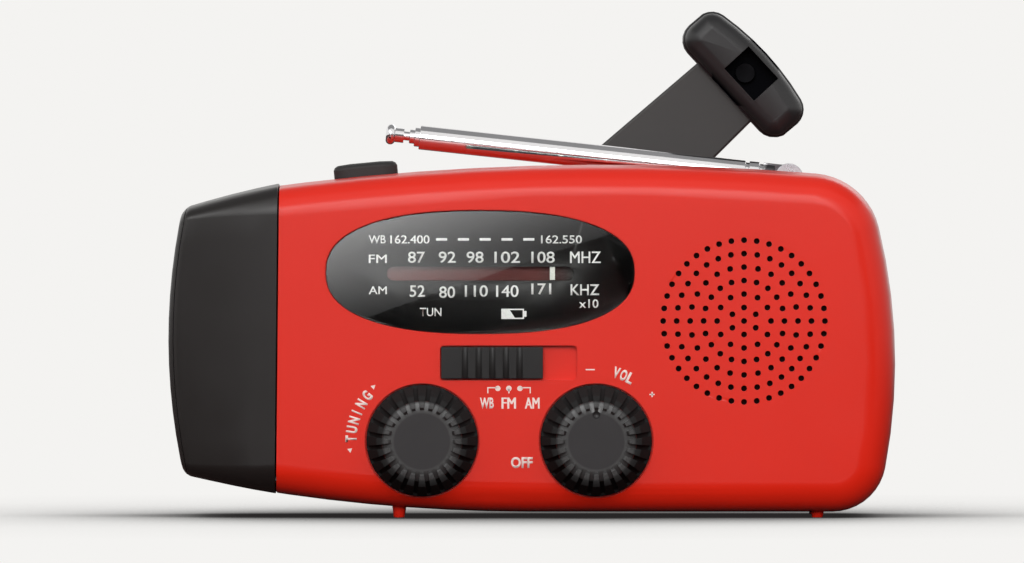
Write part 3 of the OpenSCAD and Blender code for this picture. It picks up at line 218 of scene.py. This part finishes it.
# %% Clear plastic
def clear(name, colour, roughness=0.02, ior=1.49):
    tree = Tree(name)
    tree.link(tree.blend(tree.spread(tree.noise(20), 0, 1), shade(colour, 0.98), colour),
              tree.shader.inputs["Base Color"])
    tree.link(tree.spread(tree.noise(6, 3), roughness * 0.6, roughness * 1.5),
              tree.shader.inputs["Roughness"])
    tree.link(tree.relief(tree.noise(16, 1), 0.006, 0.4), tree.shader.inputs["Normal"])
    tree.set(IOR=ior, Transmission_Weight=1.0)
    through = tree.add("ShaderNodeBsdfTransparent")
    through.inputs["Color"].default_value = shade(colour, 0.98)
    mix = tree.add("ShaderNodeMixShader")
    tree.link(tree.add("ShaderNodeLightPath").outputs["Is Shadow Ray"], mix.inputs[0])
    tree.link(tree.shader.outputs[0], mix.inputs[1])
    tree.link(through.outputs[0], mix.inputs[2])
    tree.link(mix.outputs[0], tree.output.inputs["Surface"])
    return tree.material


# %% [markdown]
# ## The list of finishes
# Each material slot of the part gets its finish by name.

# %% Finishes
finishes = {
    "case_red": moulded("case_red", paint(222, 35, 15), 0.30, 0.3, 0.003, 0.03, 0.42),
    "case_charcoal": moulded("case_charcoal", paint(27, 24, 23), 0.34, gloss=0.55),
    "bezel_charcoal": moulded("bezel_charcoal", paint(32, 29, 28), 0.33),
    "lens_clear": clear("lens_clear", paint(246, 249, 250)),
    "reflector_silver": metal("reflector_silver", paint(228, 229, 232), 0.08),
    "led_clear": clear("led_clear", paint(250, 248, 232), 0.05),
    "board_green": moulded("board_green", paint(32, 84, 48), 0.35, 0.8, 0.01),
    "rubber_black": moulded("rubber_black", paint(36, 35, 35), 0.62, 0.2, 0.008),
    "plastic_black": moulded("plastic_black", paint(44, 43, 43), 0.45),
    "window_smoked": clear("window_smoked", paint(236, 238, 236), 0.006),
    "dial_black": moulded("dial_black", paint(26, 25, 25), 0.30),
    "plastic_white": moulded("plastic_white", paint(233, 231, 225), 0.4),
    "steel": metal("steel", paint(186, 188, 192), 0.25),
    "knob_charcoal": moulded("knob_charcoal", paint(29, 28, 28), 0.38, gloss=0.4),
    "cone_black": moulded("cone_black", paint(30, 29, 29), 0.7, 0.5, 0.02),
    "magnet_grey": metal("magnet_grey", paint(120, 122, 124), 0.4),
    "cloth_black": moulded("cloth_black", paint(26, 24, 24), 0.85, 0.35, 0.06),
    "battery_blue": moulded("battery_blue", paint(30, 70, 130), 0.3),
    "ferrite_brown": moulded("ferrite_brown", paint(60, 50, 45), 0.5),
    "cell_blue": moulded("cell_blue", paint(18, 26, 56), 0.2),
    "antenna_chrome": metal("antenna_chrome", paint(240, 239, 241), 0.11),
    "bush_brass": metal("bush_brass", paint(206, 168, 96), 0.22),
    "arm_grey": moulded("arm_grey", paint(50, 49, 48), 0.42),
    # Near-black screws; on the grip's screw, deep in the cap's pocket, this dark tone is also
    # painted shade.
    "screw_black": metal("screw_black", paint(22, 22, 24), 0.45),
}
slot_of = {}
for part in frame["record"]["subparts"]:
    slot_of[part["node"]] = part["material_slot"]

# %% [markdown]
# ## Soft edges on the carried-over solids
# A solid model's edges are razor sharp, and no moulding is. The solids keep their meshes;
# modifiers merge the loose triangles, dissolve flat regions, break each sharp edge by a
# tenth of a millimetre and weight the normals so that flats stay flat.

# %% Break the edges
def break_edges(node, width_mm, segments):
    """Rounds a solid's sharp edges without touching its mesh."""
    for polygon in node.data.polygons:
        polygon.use_smooth = True
    weld = node.modifiers.new("merge", "WELD")
    weld.merge_threshold = 0.002 * MM
    flat = node.modifiers.new("flats", "DECIMATE")
    flat.decimate_type = "DISSOLVE"
    flat.angle_limit = math.radians(0.4)
    bevel = node.modifiers.new("edges", "BEVEL")
    bevel.limit_method = "ANGLE"
    bevel.angle_limit = math.radians(28)
    bevel.width = width_mm * MM
    bevel.segments = segments
    bevel.use_clamp_overlap = True
    bevel.miter_outer = "MITER_ARC"
    normal = node.modifiers.new("normals", "WEIGHTED_NORMAL")
    normal.keep_sharp = False


COMMON_EDGE = 0.12
wide = {"crank_arm": 0.45, "grip_cap": 0.25, "tuning_knob": 0.22, "volume_knob": 0.22}
for name, node in nodes.items():
    node.data.materials.clear()
    node.data.materials.append(finishes[slot_of[name]])
    break_edges(node, wide.get(name, COMMON_EDGE), 3 if name in wide else 2)
print("edges broken on", len(nodes), "nodes, wider on", len(wide))

# %% [markdown]
# ## Knobs
# A moulded knob has a satin face, then a step, then a ribbed flank without any shine,
# because light that falls between the ribs doesn't come out again. The step is painted
# darker than face and flank, as painted shade. The distance from the knob's own axis
# mixes the tones, so the pattern turns with the knob.

# %% Knob finish, with painted shade on the step
def from_axis(tree, x, z):
    """Distance from an axis that runs front to back through x and z."""
    shift = tree.add("ShaderNodeMapping", Location=(-x, 0, -z), Scale=(1, 0, 1))
    tree.link(tree.where, shift.inputs["Vector"])
    length = tree.add("ShaderNodeVectorMath", operation="LENGTH")
    tree.link(shift.outputs["Vector"], length.inputs[0])
    return length.outputs["Value"]


def mixed(tree, share, first, second):
    """A socket's colour, turning into a plain colour by a share."""
    node = tree.add("ShaderNodeMix", data_type="RGBA")
    tree.link(share, node.inputs[0])
    tree.link(first, node.inputs[6])
    node.inputs[7].default_value = second
    return node.outputs[2]


def middle(name):
    """The middle of a node's box, across and up."""
    low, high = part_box(name)
    return (low.x + high.x) / 2, (low.z + high.z) / 2


def knob_finish_with_painted_shade(name):
    tree = Tree(name + "_finish")
    radius = from_axis(tree, *middle(name))
    face = tree.blend(tree.noise(5), paint(44, 42, 43), paint(49, 47, 48))
    # The step is painted darker than face and flank: a painted shade.
    step_painted_shade = mixed(tree, tree.spread(radius, 0, 1, 4.8 * MM, 5.1 * MM), face, paint(34, 33, 33))
    flank = mixed(tree, tree.spread(radius, 0, 1, 6.5 * MM, 7.2 * MM), step_painted_shade, paint(44, 43, 43))
    tree.link(flank, tree.shader.inputs["Base Color"])
    shine = tree.times(tree.spread(radius, 0.4, 1, 4.8 * MM, 5.1 * MM),
                       tree.spread(radius, 1, 0, 6.6 * MM, 7.1 * MM))
    tree.link(shine, tree.shader.inputs["Specular IOR Level"])
    tree.link(tree.spread(tree.noise(3, 3), 0.31, 0.40), tree.shader.inputs["Roughness"])
    tree.link(tree.relief(tree.noise(0.2, 3), 0.004, 0.6), tree.shader.inputs["Normal"])
    return tree.material


for name in ("tuning_knob", "volume_knob"):
    nodes[name].data.materials[0] = knob_finish_with_painted_shade(name)
    print("knob finish on", name)

# %% [markdown]
# ## Antenna hinge
# The widest antenna tube and the knuckle that it turns on are both polished chrome. Here the
# knuckle is made rougher and painted a dark metal, a painted dark reflection that keeps it
# grey. Both are one solid, so the distance from the hinge pin mixes the two tones within
# one material.

# %% Hinge finish, with a painted dark reflection on the knuckle
tree = Tree("tube_and_hinge")
away = from_axis(tree, *middle("antenna_pin"))
knuckle_painted_dark = tree.spread(away, 1, 0, 4.4 * MM, 5.0 * MM)
polished = tree.blend(tree.spread(tree.noise(12), 0, 1), paint(233, 232, 234),
                      paint(244, 243, 245))
# The knuckle's dark metal tone is a painted dark reflection.
tree.link(mixed(tree, knuckle_painted_dark, polished, paint(92, 90, 93)), tree.shader.inputs["Base Color"])
tree.link(tree.spread(away, 0.3, 0.11, 4.4 * MM, 5.0 * MM), tree.shader.inputs["Roughness"])
tree.link(tree.relief(tree.noise(0.6, 3), 0.0006, 0.5), tree.shader.inputs["Normal"])
tree.set(Metallic=1.0)
nodes["antenna_base"].data.materials[0] = tree.material
print("hinge finish on antenna_base")

# %% [markdown]
# ## Pocket in the grip's cap
# The cap has a deep square pocket with the grip's screw at its bottom. Little light gets in,
# so its walls are painted near black and without shine: a painted shade. A mask keeps that
# painted shade inside the pocket: it takes what is near the screw's axis and a little behind
# the cap's face.

# %% Cap finish, with painted shade in the pocket
cap_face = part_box("grip_cap")[0].y
tree = Tree("cap_finish_and_painted_pocket_shade")
depth = tree.spread(tree.parts(tree.where)["Y"], 0, 1, cap_face + 1.5 * MM, cap_face + 2.5 * MM)
near = tree.spread(from_axis(tree, *middle("grip_screw")), 1, 0, 5.9 * MM, 6.0 * MM)
inside = tree.times(depth, near)
skin = tree.blend(tree.noise(8), paint(32, 32, 33), paint(38, 37, 38))
# Near black inside the pocket: painted shade.
tree.link(mixed(tree, inside, skin, paint(5, 5, 8)), tree.shader.inputs["Base Color"])
tree.link(tree.spread(inside, 0.5, 0.02, 0, 1), tree.shader.inputs["Specular IOR Level"])
tree.link(tree.spread(tree.noise(4, 3), 0.36, 0.44), tree.shader.inputs["Roughness"])
tree.link(tree.relief(tree.noise(0.25, 3), 0.004, 0.6), tree.shader.inputs["Normal"])
nodes["grip_cap"].data.materials[0] = tree.material
print("cap finish on grip_cap")

# %% [markdown]
# ## Modelling helpers
# Operators act on whatever is selected, so every step starts by selecting exactly one piece.
# A new flat mark starts as a primitive on the upright plane of the face, seen from the front.
# Printing ink is a film a hundredth of a millimetre thick, which the last helper gives it.

# %% Helpers for new pieces
UPRIGHT = (math.radians(90), 0, 0)
INK = 0.01


def only(piece):
    for other in bpy.context.selected_objects:
        other.select_set(False)
    piece.select_set(True)
    bpy.context.view_layer.objects.active = piece


def settle(piece):
    """Puts a piece's place, turn and size into its mesh."""
    only(piece)
    bpy.ops.object.transform_apply(location=True, rotation=True, scale=True)
    return piece


def pick(piece, kind, wanted):
    """Edit mode with only the wanted faces or edges selected."""
    only(piece)
    bpy.ops.object.mode_set(mode="EDIT")
    bpy.ops.mesh.select_mode(type=kind)
    bpy.ops.mesh.select_all(action="DESELECT")
    bpy.ops.object.mode_set(mode="OBJECT")
    for item in piece.data.polygons if kind == "FACE" else piece.data.edges:
        item.select = wanted(item)
    bpy.ops.object.mode_set(mode="EDIT")


def bar(left, right, low, high, y):
    """A flat rectangle."""
    only(nodes["dial_window"])
    bpy.ops.mesh.primitive_plane_add(size=1, rotation=UPRIGHT, location=(
        (left + right) / 2 * MM, y * MM, (low + high) / 2 * MM))
    piece = bpy.context.active_object
    piece.scale = ((right - left) * MM, (high - low) * MM, 1)
    return settle(piece)


def disc(x, z, radius, y, corners=24, turn=0):
    """A flat disc, or with three corners a small triangle whose tip points up."""
    only(nodes["dial_window"])
    bpy.ops.mesh.primitive_circle_add(vertices=corners, radius=radius * MM, fill_type="NGON",
                                      location=(x * MM, y * MM, z * MM),
                                      rotation=(math.radians(90), math.radians(turn), 0))
    return settle(bpy.context.active_object)


def word(text, left, right, low, high, y, turn=0, weight=0.0):
    """Lettering fitted between left and right, low and high, then turned about its middle.
    Weight thickens the strokes; the outline of an M or a 4 would cross itself, so such a
    word is struck twice, the second time a hair in front of the first."""
    crossing = "M" in text or "4" in text
    only(nodes["dial_window"])
    bpy.ops.object.text_add(rotation=UPRIGHT)
    piece = bpy.context.active_object
    piece.data.body = text
    piece.data.resolution_u = 6
    piece.data.offset = 0 if crossing else weight
    only(piece)
    bpy.ops.object.convert(target="MESH")
    piece = bpy.context.active_object
    if crossing:
        bpy.ops.object.mode_set(mode="EDIT")
        bpy.ops.mesh.select_all(action="SELECT")
        bpy.ops.mesh.duplicate_move(TRANSFORM_OT_translate={
            "value": (2 * weight, 0, 0.003 * MM), "orient_type": "LOCAL"})
        bpy.ops.object.mode_set(mode="OBJECT")
    flat = [v.co for v in piece.data.vertices]
    corner = Vector((min(v.x for v in flat), min(v.y for v in flat), 0))
    span = Vector((max(v.x for v in flat), max(v.y for v in flat), 0)) - corner
    middle = corner + span / 2
    piece.data.transform(Matrix.Translation(-middle))
    piece.scale = ((right - left) * MM / span.x, (high - low) * MM / span.y, 1)
    piece.rotation_euler = (math.radians(90), math.radians(turn), 0)
    piece.location = ((left + right) / 2 * MM, y * MM, (low + high) / 2 * MM)
    return settle(piece)


def inked(name, marks, finish):
    """Joins flat marks into one printed piece and gives the ink its thickness."""
    only(marks[0])
    for mark in marks[1:]:
        mark.select_set(True)
    if len(marks) > 1:
        bpy.ops.object.join()
    piece = bpy.context.active_object
    piece.name = name
    only(piece)
    bpy.ops.object.mode_set(mode="EDIT")
    bpy.ops.mesh.select_all(action="SELECT")
    bpy.ops.mesh.remove_doubles(threshold=0.001 * MM)
    bpy.ops.object.mode_set(mode="OBJECT")
    film = piece.modifiers.new("film", "SOLIDIFY")
    film.thickness = INK * MM
    film.offset = 1
    bpy.ops.object.modifier_apply(modifier="film")
    piece.data.materials.clear()
    piece.data.materials.append(finish)
    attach(piece, "root")
    print(name, len(piece.data.polygons), "faces")
    return piece


# %% [markdown]
# ## Screen-printing ink
# Ink is matt, slightly uneven in density, and a little of the plastic shows through it. Two
# noises vary its tone and its roughness at the scale of the squeegee's mesh.

# %% Ink
def ink(name, colour, roughness=0.5):
    tree = Tree(name)
    tree.link(tree.blend(tree.spread(tree.noise(0.5, 3), 0, 1), shade(colour, 0.9), colour),
              tree.shader.inputs["Base Color"])
    tree.link(tree.spread(tree.noise(1.5, 2), roughness - 0.05, roughness + 0.08),
              tree.shader.inputs["Roughness"])
    tree.link(tree.relief(tree.noise(0.2, 2), 0.002, 0.5), tree.shader.inputs["Normal"])
    return tree.material


scale_ink = ink("scale_ink", paint(247, 247, 245))
legend_ink = ink("legend_ink", paint(250, 226, 219), 0.6)
print_black = ink("print_black", paint(27, 26, 26), 0.45)

# %% [markdown]
# ## The dial's black print
# Such a window is usually clear plastic, printed black on its back apart from the
# pointer's slot. The print could be a new outline, but a copy of the window already has the
# right one: its back faces are kept as a thin sheet just inside the back, and the slot is
# cut with a boolean. A stadium of the slot's size, which is a rounded box, does the cutting.

# %% Black print behind the window
dial_x, dial_z = (v / MM for v in middle("dial_window"))
window_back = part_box("dial_window")[1].y / MM
slot_left, slot_right = dial_x - 16.4, dial_x + 16.6
slot_low, slot_high = dial_z - 1.45, dial_z + 1.0

printed = nodes["dial_window"].copy()
printed.data = printed.data.copy()
printed.modifiers.clear()
bpy.context.scene.collection.objects.link(printed)
only(printed)
bpy.ops.object.mode_set(mode="EDIT")
bpy.ops.mesh.select_all(action="SELECT")
bpy.ops.mesh.remove_doubles(threshold=0.002 * MM)
bpy.ops.object.mode_set(mode="OBJECT")
pick(printed, "FACE", lambda face: face.normal.y < 0.99)
bpy.ops.mesh.delete(type="FACE")
bpy.ops.mesh.select_all(action="SELECT")
bpy.ops.mesh.dissolve_limited(angle_limit=math.radians(1))
bpy.ops.mesh.extrude_region_move(TRANSFORM_OT_translate={"value": (0, INK * MM, 0)})
bpy.ops.mesh.select_all(action="SELECT")
bpy.ops.transform.translate(value=(0, -0.012 * MM, 0))
bpy.ops.mesh.normals_make_consistent(inside=False)
bpy.ops.object.mode_set(mode="OBJECT")

only(printed)
bpy.ops.mesh.primitive_cube_add(size=1, location=(
    (slot_left + slot_right) / 2 * MM, window_back * MM, (slot_low + slot_high) / 2 * MM))
cutter = bpy.context.active_object
cutter.scale = ((slot_right - slot_left) * MM, 1 * MM, (slot_high - slot_low) * MM)
settle(cutter)
pick(cutter, "EDGE", lambda edge: abs(cutter.data.vertices[edge.vertices[0]].co.y
                                      - cutter.data.vertices[edge.vertices[1]].co.y) > 0.5 * MM)
bpy.ops.mesh.bevel(offset=(slot_high - slot_low) / 2 * MM * 0.98, segments=8)
bpy.ops.object.mode_set(mode="OBJECT")
opening = printed.modifiers.new("slot", "BOOLEAN")
opening.object = cutter
opening.solver = "EXACT"
only(printed)
bpy.ops.object.modifier_apply(modifier="slot")
bpy.data.objects.remove(cutter)
printed.name = "dial_print"
printed.data.materials.clear()
printed.data.materials.append(print_black)
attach(printed, "root")
print("dial_print", len(printed.data.polygons), "faces")

# %% [markdown]
# ## The dial's lettering
# Numbers and band names are white, printed between the window and the black. Blender's own
# font is close to the plain grotesque of such dials. Each word is made a mesh and fitted to
# its width and height on the scale, measured from the middle of the window.

# %% Dial lettering
scale_y = window_back - 0.014
rows = (
    (5.07, 6.52, (("WB", -19.6, -16.6), ("162.400", -15.8, -8.9), ("162.550", 10.7, 17.9))),
    (1.64, 3.12, (("FM", -19.6, -16.4),)),
    (1.64, 3.66, (("87", -12.7, -9.7), ("92", -7.3, -4.3), ("98", -2.4, 0.6),
                  ("102", 2.5, 7.0), ("108", 9.0, 13.1), ("MHZ", 15.8, 21.2))),
    (-3.84, -2.46, (("AM", -19.6, -16.4),)),
    (-4.32, -2.26, (("52", -12.4, -9.7), ("110", -2.7, 1.35), ("140", 2.8, 6.75))),
    (-4.5, -2.46, (("80", -7.2, -4.4),)),
    (-3.9, -1.95, (("171", 9.0, 12.5),)),
    (-4.02, -2.1, (("KHZ", 15.9, 20.95),)),
    (-6.26, -4.74, (("x10", 17.4, 20.8),)),
    (-7.72, -6.24, (("TUN", -10.6, -6.8),)),
)
marks = []
for low, high, words in rows:
    for text, left, right in words:
        marks.append(word(text, dial_x + left, dial_x + right, dial_z + low, dial_z + high,
                          scale_y, weight=0.012))
for left in (-7.75, -3.92, -0.1, 3.75, 7.58):
    marks.append(bar(dial_x + left, dial_x + left + 1.95, dial_z + 5.58, dial_z + 6.03, scale_y))

# The battery sign: an outline, a charge with a slanted end, and the pole
battery = bar(dial_x + 3.72, dial_x + 7.7, dial_z - 8.2, dial_z - 6.4, scale_y)
bpy.ops.object.mode_set(mode="EDIT")
bpy.ops.mesh.select_all(action="SELECT")
bpy.ops.mesh.inset(thickness=0.22 * MM)
bpy.ops.mesh.delete(type="FACE")
bpy.ops.object.mode_set(mode="OBJECT")
charge = bar(dial_x + 3.9, dial_x + 5.3, dial_z - 8.0, dial_z - 6.6, scale_y)
for corner in charge.data.vertices:
    if corner.co.x > (dial_x + 5) * MM:
        corner.co.x += (0.8 if corner.co.z < (dial_z - 7.3) * MM else -0.1) * MM
pole = bar(dial_x + 7.65, dial_x + 8.15, dial_z - 7.8, dial_z - 6.8, scale_y)
inked("dial_scale", marks + [battery, charge, pole], scale_ink)

# %% [markdown]
# ## The strip behind the pointer
# Behind the slot lies a strip printed a dull red, so that the white pointer stands out. It
# is darker towards its right end, and that follows object coordinates.

# %% Red strip
tree = Tree("strip_red")
along = tree.parts(tree.where)["X"]
ends = tree.spread(along, 0, 1, (slot_right - 6.5) * MM, (slot_right - 0.5) * MM)
drift = tree.blend(tree.noise(6), paint(98, 24, 20), paint(84, 20, 17))
tree.link(mixed(tree, ends, drift, paint(30, 24, 24)), tree.shader.inputs["Base Color"])
tree.link(tree.spread(tree.noise(3), 0.4, 0.6), tree.shader.inputs["Roughness"])
tree.link(tree.relief(tree.noise(0.4), 0.003, 0.5), tree.shader.inputs["Normal"])
strip_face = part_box("dial_pointer")[0].y / MM + 1.3
strip = bar(slot_left - 0.5, slot_right + 0.5, slot_low - 0.2, slot_high + 0.2, strip_face)
inked("slot_strip", [strip], tree.material)

# %% [markdown]
# ## Legends on the face
# Around the knobs and under the switch the case carries pale pad-printed words. A word on an
# arc is set letter by letter: each stands on the circle round its knob, head outwards.

# %% Case legends
print_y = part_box("front_shell")[0].y / MM - 0.001
tuning_x, knob_z = (v / MM for v in middle("tuning_knob"))
volume_x = middle("volume_knob")[0] / MM
ARC = 12.5
ARROW_ARC = 12.8
legend = []


def on_arc(letter, centre_x, clock, width=1.2, height=2.0):
    """A letter at so many degrees clockwise from the top of a knob."""
    x = centre_x + ARC * math.sin(math.radians(clock))
    z = knob_z + ARC * math.cos(math.radians(clock))
    return word(letter, x - width / 2, x + width / 2, z - height / 2, z + height / 2,
                print_y, clock, weight=0.045)


for letter, clock in zip("TUNING", (-88.5, -80.9, -73.3, -66.6, -58.8, -50.6)):
    legend.append(on_arc(letter, tuning_x, clock, 0.3 if letter == "I" else 1.2))
for letter, clock in zip("VOL", (16.6, 22.7, 28.7)):
    legend.append(on_arc(letter, volume_x, clock, 1.15))
for clock, turn in ((-97.3, -97.3 - 90), (-42.2, -42.2 + 90)):
    legend.append(disc(tuning_x + ARROW_ARC * math.sin(math.radians(clock)),
                       knob_z + ARROW_ARC * math.cos(math.radians(clock)), 0.5, print_y, 3, turn))
legend.append(word("OFF", volume_x - 15.0, volume_x - 11.15, knob_z - 4.8, knob_z - 2.85,
                   print_y, weight=0.035))
legend.append(bar(volume_x - 1.85, volume_x - 0.25, knob_z + 12.4, knob_z + 12.62, print_y))
for low, high, left, right in ((7.68, 8.6, 9.7, 9.95), (8.03, 8.25, 9.36, 10.28)):
    legend.append(bar(volume_x + left, volume_x + right, knob_z + low, knob_z + high, print_y))

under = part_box("band_slider")[0].z / MM
for text, left, right in (("WB", -9.25, -6.8), ("FM", -5.45, -2.9), ("AM", -1.35, 1.25)):
    legend.append(word(text, left, right, under - 5.3, under - 3.35, print_y, weight=0.035))
for x in (-6.1, -4.15, -2.2):
    legend.append(disc(x, under - 1.75, 0.48, print_y))
for left, right, low, high in ((-7.95, -6.3, -1.72, -1.52), (-7.95, -7.75, -2.6, -1.72),
                               (-2.0, -0.3, -1.72, -1.52), (-0.5, -0.3, -2.6, -1.72),
                               (-4.25, -4.05, -2.6, -1.8)):
    legend.append(bar(left, right, under + low, under + high, print_y))
inked("case_legend", legend, legend_ink)

# %% [markdown]
# ## Studio
# A pale floor runs into a pale backdrop. Two softboxes stand high in front: the key lights
# the radio and shows in no reflection, and the sheen beside it is the one that chrome and
# satin plastic mirror. A strip lamp near the face, an overhead lamp and a fill from behind
# are weaker. Cards that only glossy rays meet do the rest: a bright one at the upper left, a
# dark wall and roof that keep rounded edges in full colour, and a small graded card that
# gives the dial window its slanted reflection.

# %% World
PALE = paint(244, 243, 241)
world = bpy.data.worlds.new("studio")
bpy.context.scene.world = world
world.use_nodes = True
tree = world.node_tree
room = tree.nodes["Background"]
room.inputs["Color"].default_value = (1, 1, 1, 1)
room.inputs["Strength"].default_value = 0.38
backdrop = tree.nodes.new("ShaderNodeBackground")
backdrop.inputs["Color"].default_value = PALE
path = tree.nodes.new("ShaderNodeLightPath")
seen = tree.nodes.new("ShaderNodeMath")
seen.operation = "MAXIMUM"
tree.links.new(path.outputs["Is Camera Ray"], seen.inputs[0])
mirrored = tree.nodes.new("ShaderNodeMath")
mirrored.operation = "MAXIMUM"
tree.links.new(path.outputs["Is Glossy Ray"], mirrored.inputs[0])
tree.links.new(path.outputs["Is Transmission Ray"], mirrored.inputs[1])
tree.links.new(mirrored.outputs[0], seen.inputs[1])
choose = tree.nodes.new("ShaderNodeMixShader")
tree.links.new(seen.outputs[0], choose.inputs[0])
tree.links.new(room.outputs[0], choose.inputs[1])
tree.links.new(backdrop.outputs[0], choose.inputs[2])
tree.links.new(choose.outputs[0], tree.nodes["World Output"].inputs["Surface"])
print("world strength", room.inputs["Strength"].default_value)


# %% Lamps
def softbox(name, place_mm, aim_mm, size_mm, radiance, shine=True):
    """A rectangular lamp of a stated brightness, where white paper in full light is 1."""
    lamp = bpy.data.lights.new(name, "AREA")
    lamp.shape = "RECTANGLE"
    lamp.size, lamp.size_y = size_mm[0] * MM, size_mm[1] * MM
    lamp.energy = radiance * math.pi * lamp.size * lamp.size_y
    lamp_object = bpy.data.objects.new(name, lamp)
    place, aim = Vector(place_mm) * MM, Vector(aim_mm) * MM
    lamp_object.location = place
    lamp_object.rotation_euler = (aim - place).to_track_quat("-Z", "Y").to_euler()
    lamp_object.visible_camera = False
    lamp_object.visible_glossy = shine
    bpy.context.scene.collection.objects.link(lamp_object)
    return lamp_object


strip_lamp = softbox("strip", (0, -200, 122), (0, -10, 92), (440, 110), 0.3)
key = softbox("key", (40, -1150, 430), (0, 0, 30), (700, 500), 5.8, False)
sheen = softbox("sheen", (-90, -1150, 430), (0, 0, 30), (700, 500), 3.0)
overhead = softbox("overhead", (-60, -330, 900), (0, -100, 0), (900, 800), 0.5, False)
fill = softbox("fill", (500, 1100, 600), (0, 0, 30), (700, 500), 1.0)
print("lamps:", strip_lamp.name, key.name, sheen.name, overhead.name, fill.name)


# %% [markdown]
# ## Floor and cards
# The floor that the camera sees glows in a pale tone, which ambient occlusion darkens under
# and round the radio into a painted shadow, soft like that of a light table. The floor that
# all other rays meet is a dim, plain surface, so it throws little light up at the case. The
# cards are plain sheets that glow and that no camera ray sees.

# %% Floor
def flat_sheet(name, centre_mm, turn, size_mm):
    """A plane of the studio, which isn't part of the radio."""
    only(nodes["dial_window"])
    bpy.ops.mesh.primitive_plane_add(size=1, location=Vector(centre_mm) * MM, rotation=turn)
    sheet = bpy.context.active_object
    sheet.scale = (size_mm[0] * MM, size_mm[1] * MM, 1)
    sheet.name = name
    return sheet


floor = settle(flat_sheet("floor", (0, 0, 0), (0, 0, 0), (6000, 6000)))
tree = Tree("floor")
near = tree.add("ShaderNodeAmbientOcclusion", Distance=160 * MM)
openness = tree.power(near.outputs["AO"], 3)
# The floor glows; its darkening by ambient occlusion is a painted shadow.
pale = tree.add("ShaderNodeEmission")
tree.link(tree.blend(tree.spread(openness, 0, 1, 0, 0.9), paint(40, 38, 38), PALE),
          pale.inputs["Color"])
dim = tree.add("ShaderNodeBsdfDiffuse")
dim.inputs["Color"].default_value = paint(104, 84, 82)
rays = tree.add("ShaderNodeLightPath")
choose = tree.add("ShaderNodeMixShader")
tree.link(rays.outputs["Is Camera Ray"], choose.inputs[0])
tree.link(dim.outputs[0], choose.inputs[1])
tree.link(pale.outputs[0], choose.inputs[2])
tree.link(choose.outputs[0], tree.output.inputs["Surface"])
floor.data.materials.append(tree.material)
print("floor", tuple(round(v, 2) for v in floor.dimensions), "m")


# %% Cards
def only_glossy(sheet):
    """Hides a sheet from camera, diffuse and shadow rays."""
    for ray in ("camera", "diffuse", "shadow"):
        setattr(sheet, "visible_" + ray, False)


def glow(sheet, tree, strength):
    """Makes a sheet shine by a number, or by a socket that varies over it."""
    light = tree.add("ShaderNodeEmission")
    if isinstance(strength, (int, float)):
        light.inputs["Strength"].default_value = strength
    else:
        tree.link(strength, light.inputs["Strength"])
    tree.link(light.outputs[0], tree.output.inputs["Surface"])
    sheet.data.materials.append(tree.material)
    only_glossy(sheet)
    print("card", sheet.name)


for name, place, turn, size, grey in (
        ("left_sheen", (-650, -800, 800), (math.radians(54), 0, math.radians(-39)),
         (460, 460), 3.0),
        ("dark_wall", (0, -1700, 50), UPRIGHT, (2600, 1100), 0.01),
        ("dark_roof", (0, 500, 1400), (0, 0, 0), (3400, 2000), 0.28)):
    glow(settle(flat_sheet(name, place, turn, size)), Tree(name), grey)

# The graded card: its lower edge crosses the window's mirror image on a slant
SLANT = math.radians(-19.4)
CARD_HEIGHT = 34
card = flat_sheet("graded_card", (-13.6, -1000, 32.9), (math.radians(90), SLANT, 0),
                  (112, CARD_HEIGHT))
card.location += card.rotation_euler.to_matrix() @ Vector((0, CARD_HEIGHT / 2 * MM, 0))
settle(card)
tree = Tree("graded_card")
up = tree.parts(tree.add("ShaderNodeTexCoord").outputs["UV"])["Y"]
glow(card, tree, tree.power(tree.spread(up, 0.82, 2.86, 0, 0.75), 2.1))
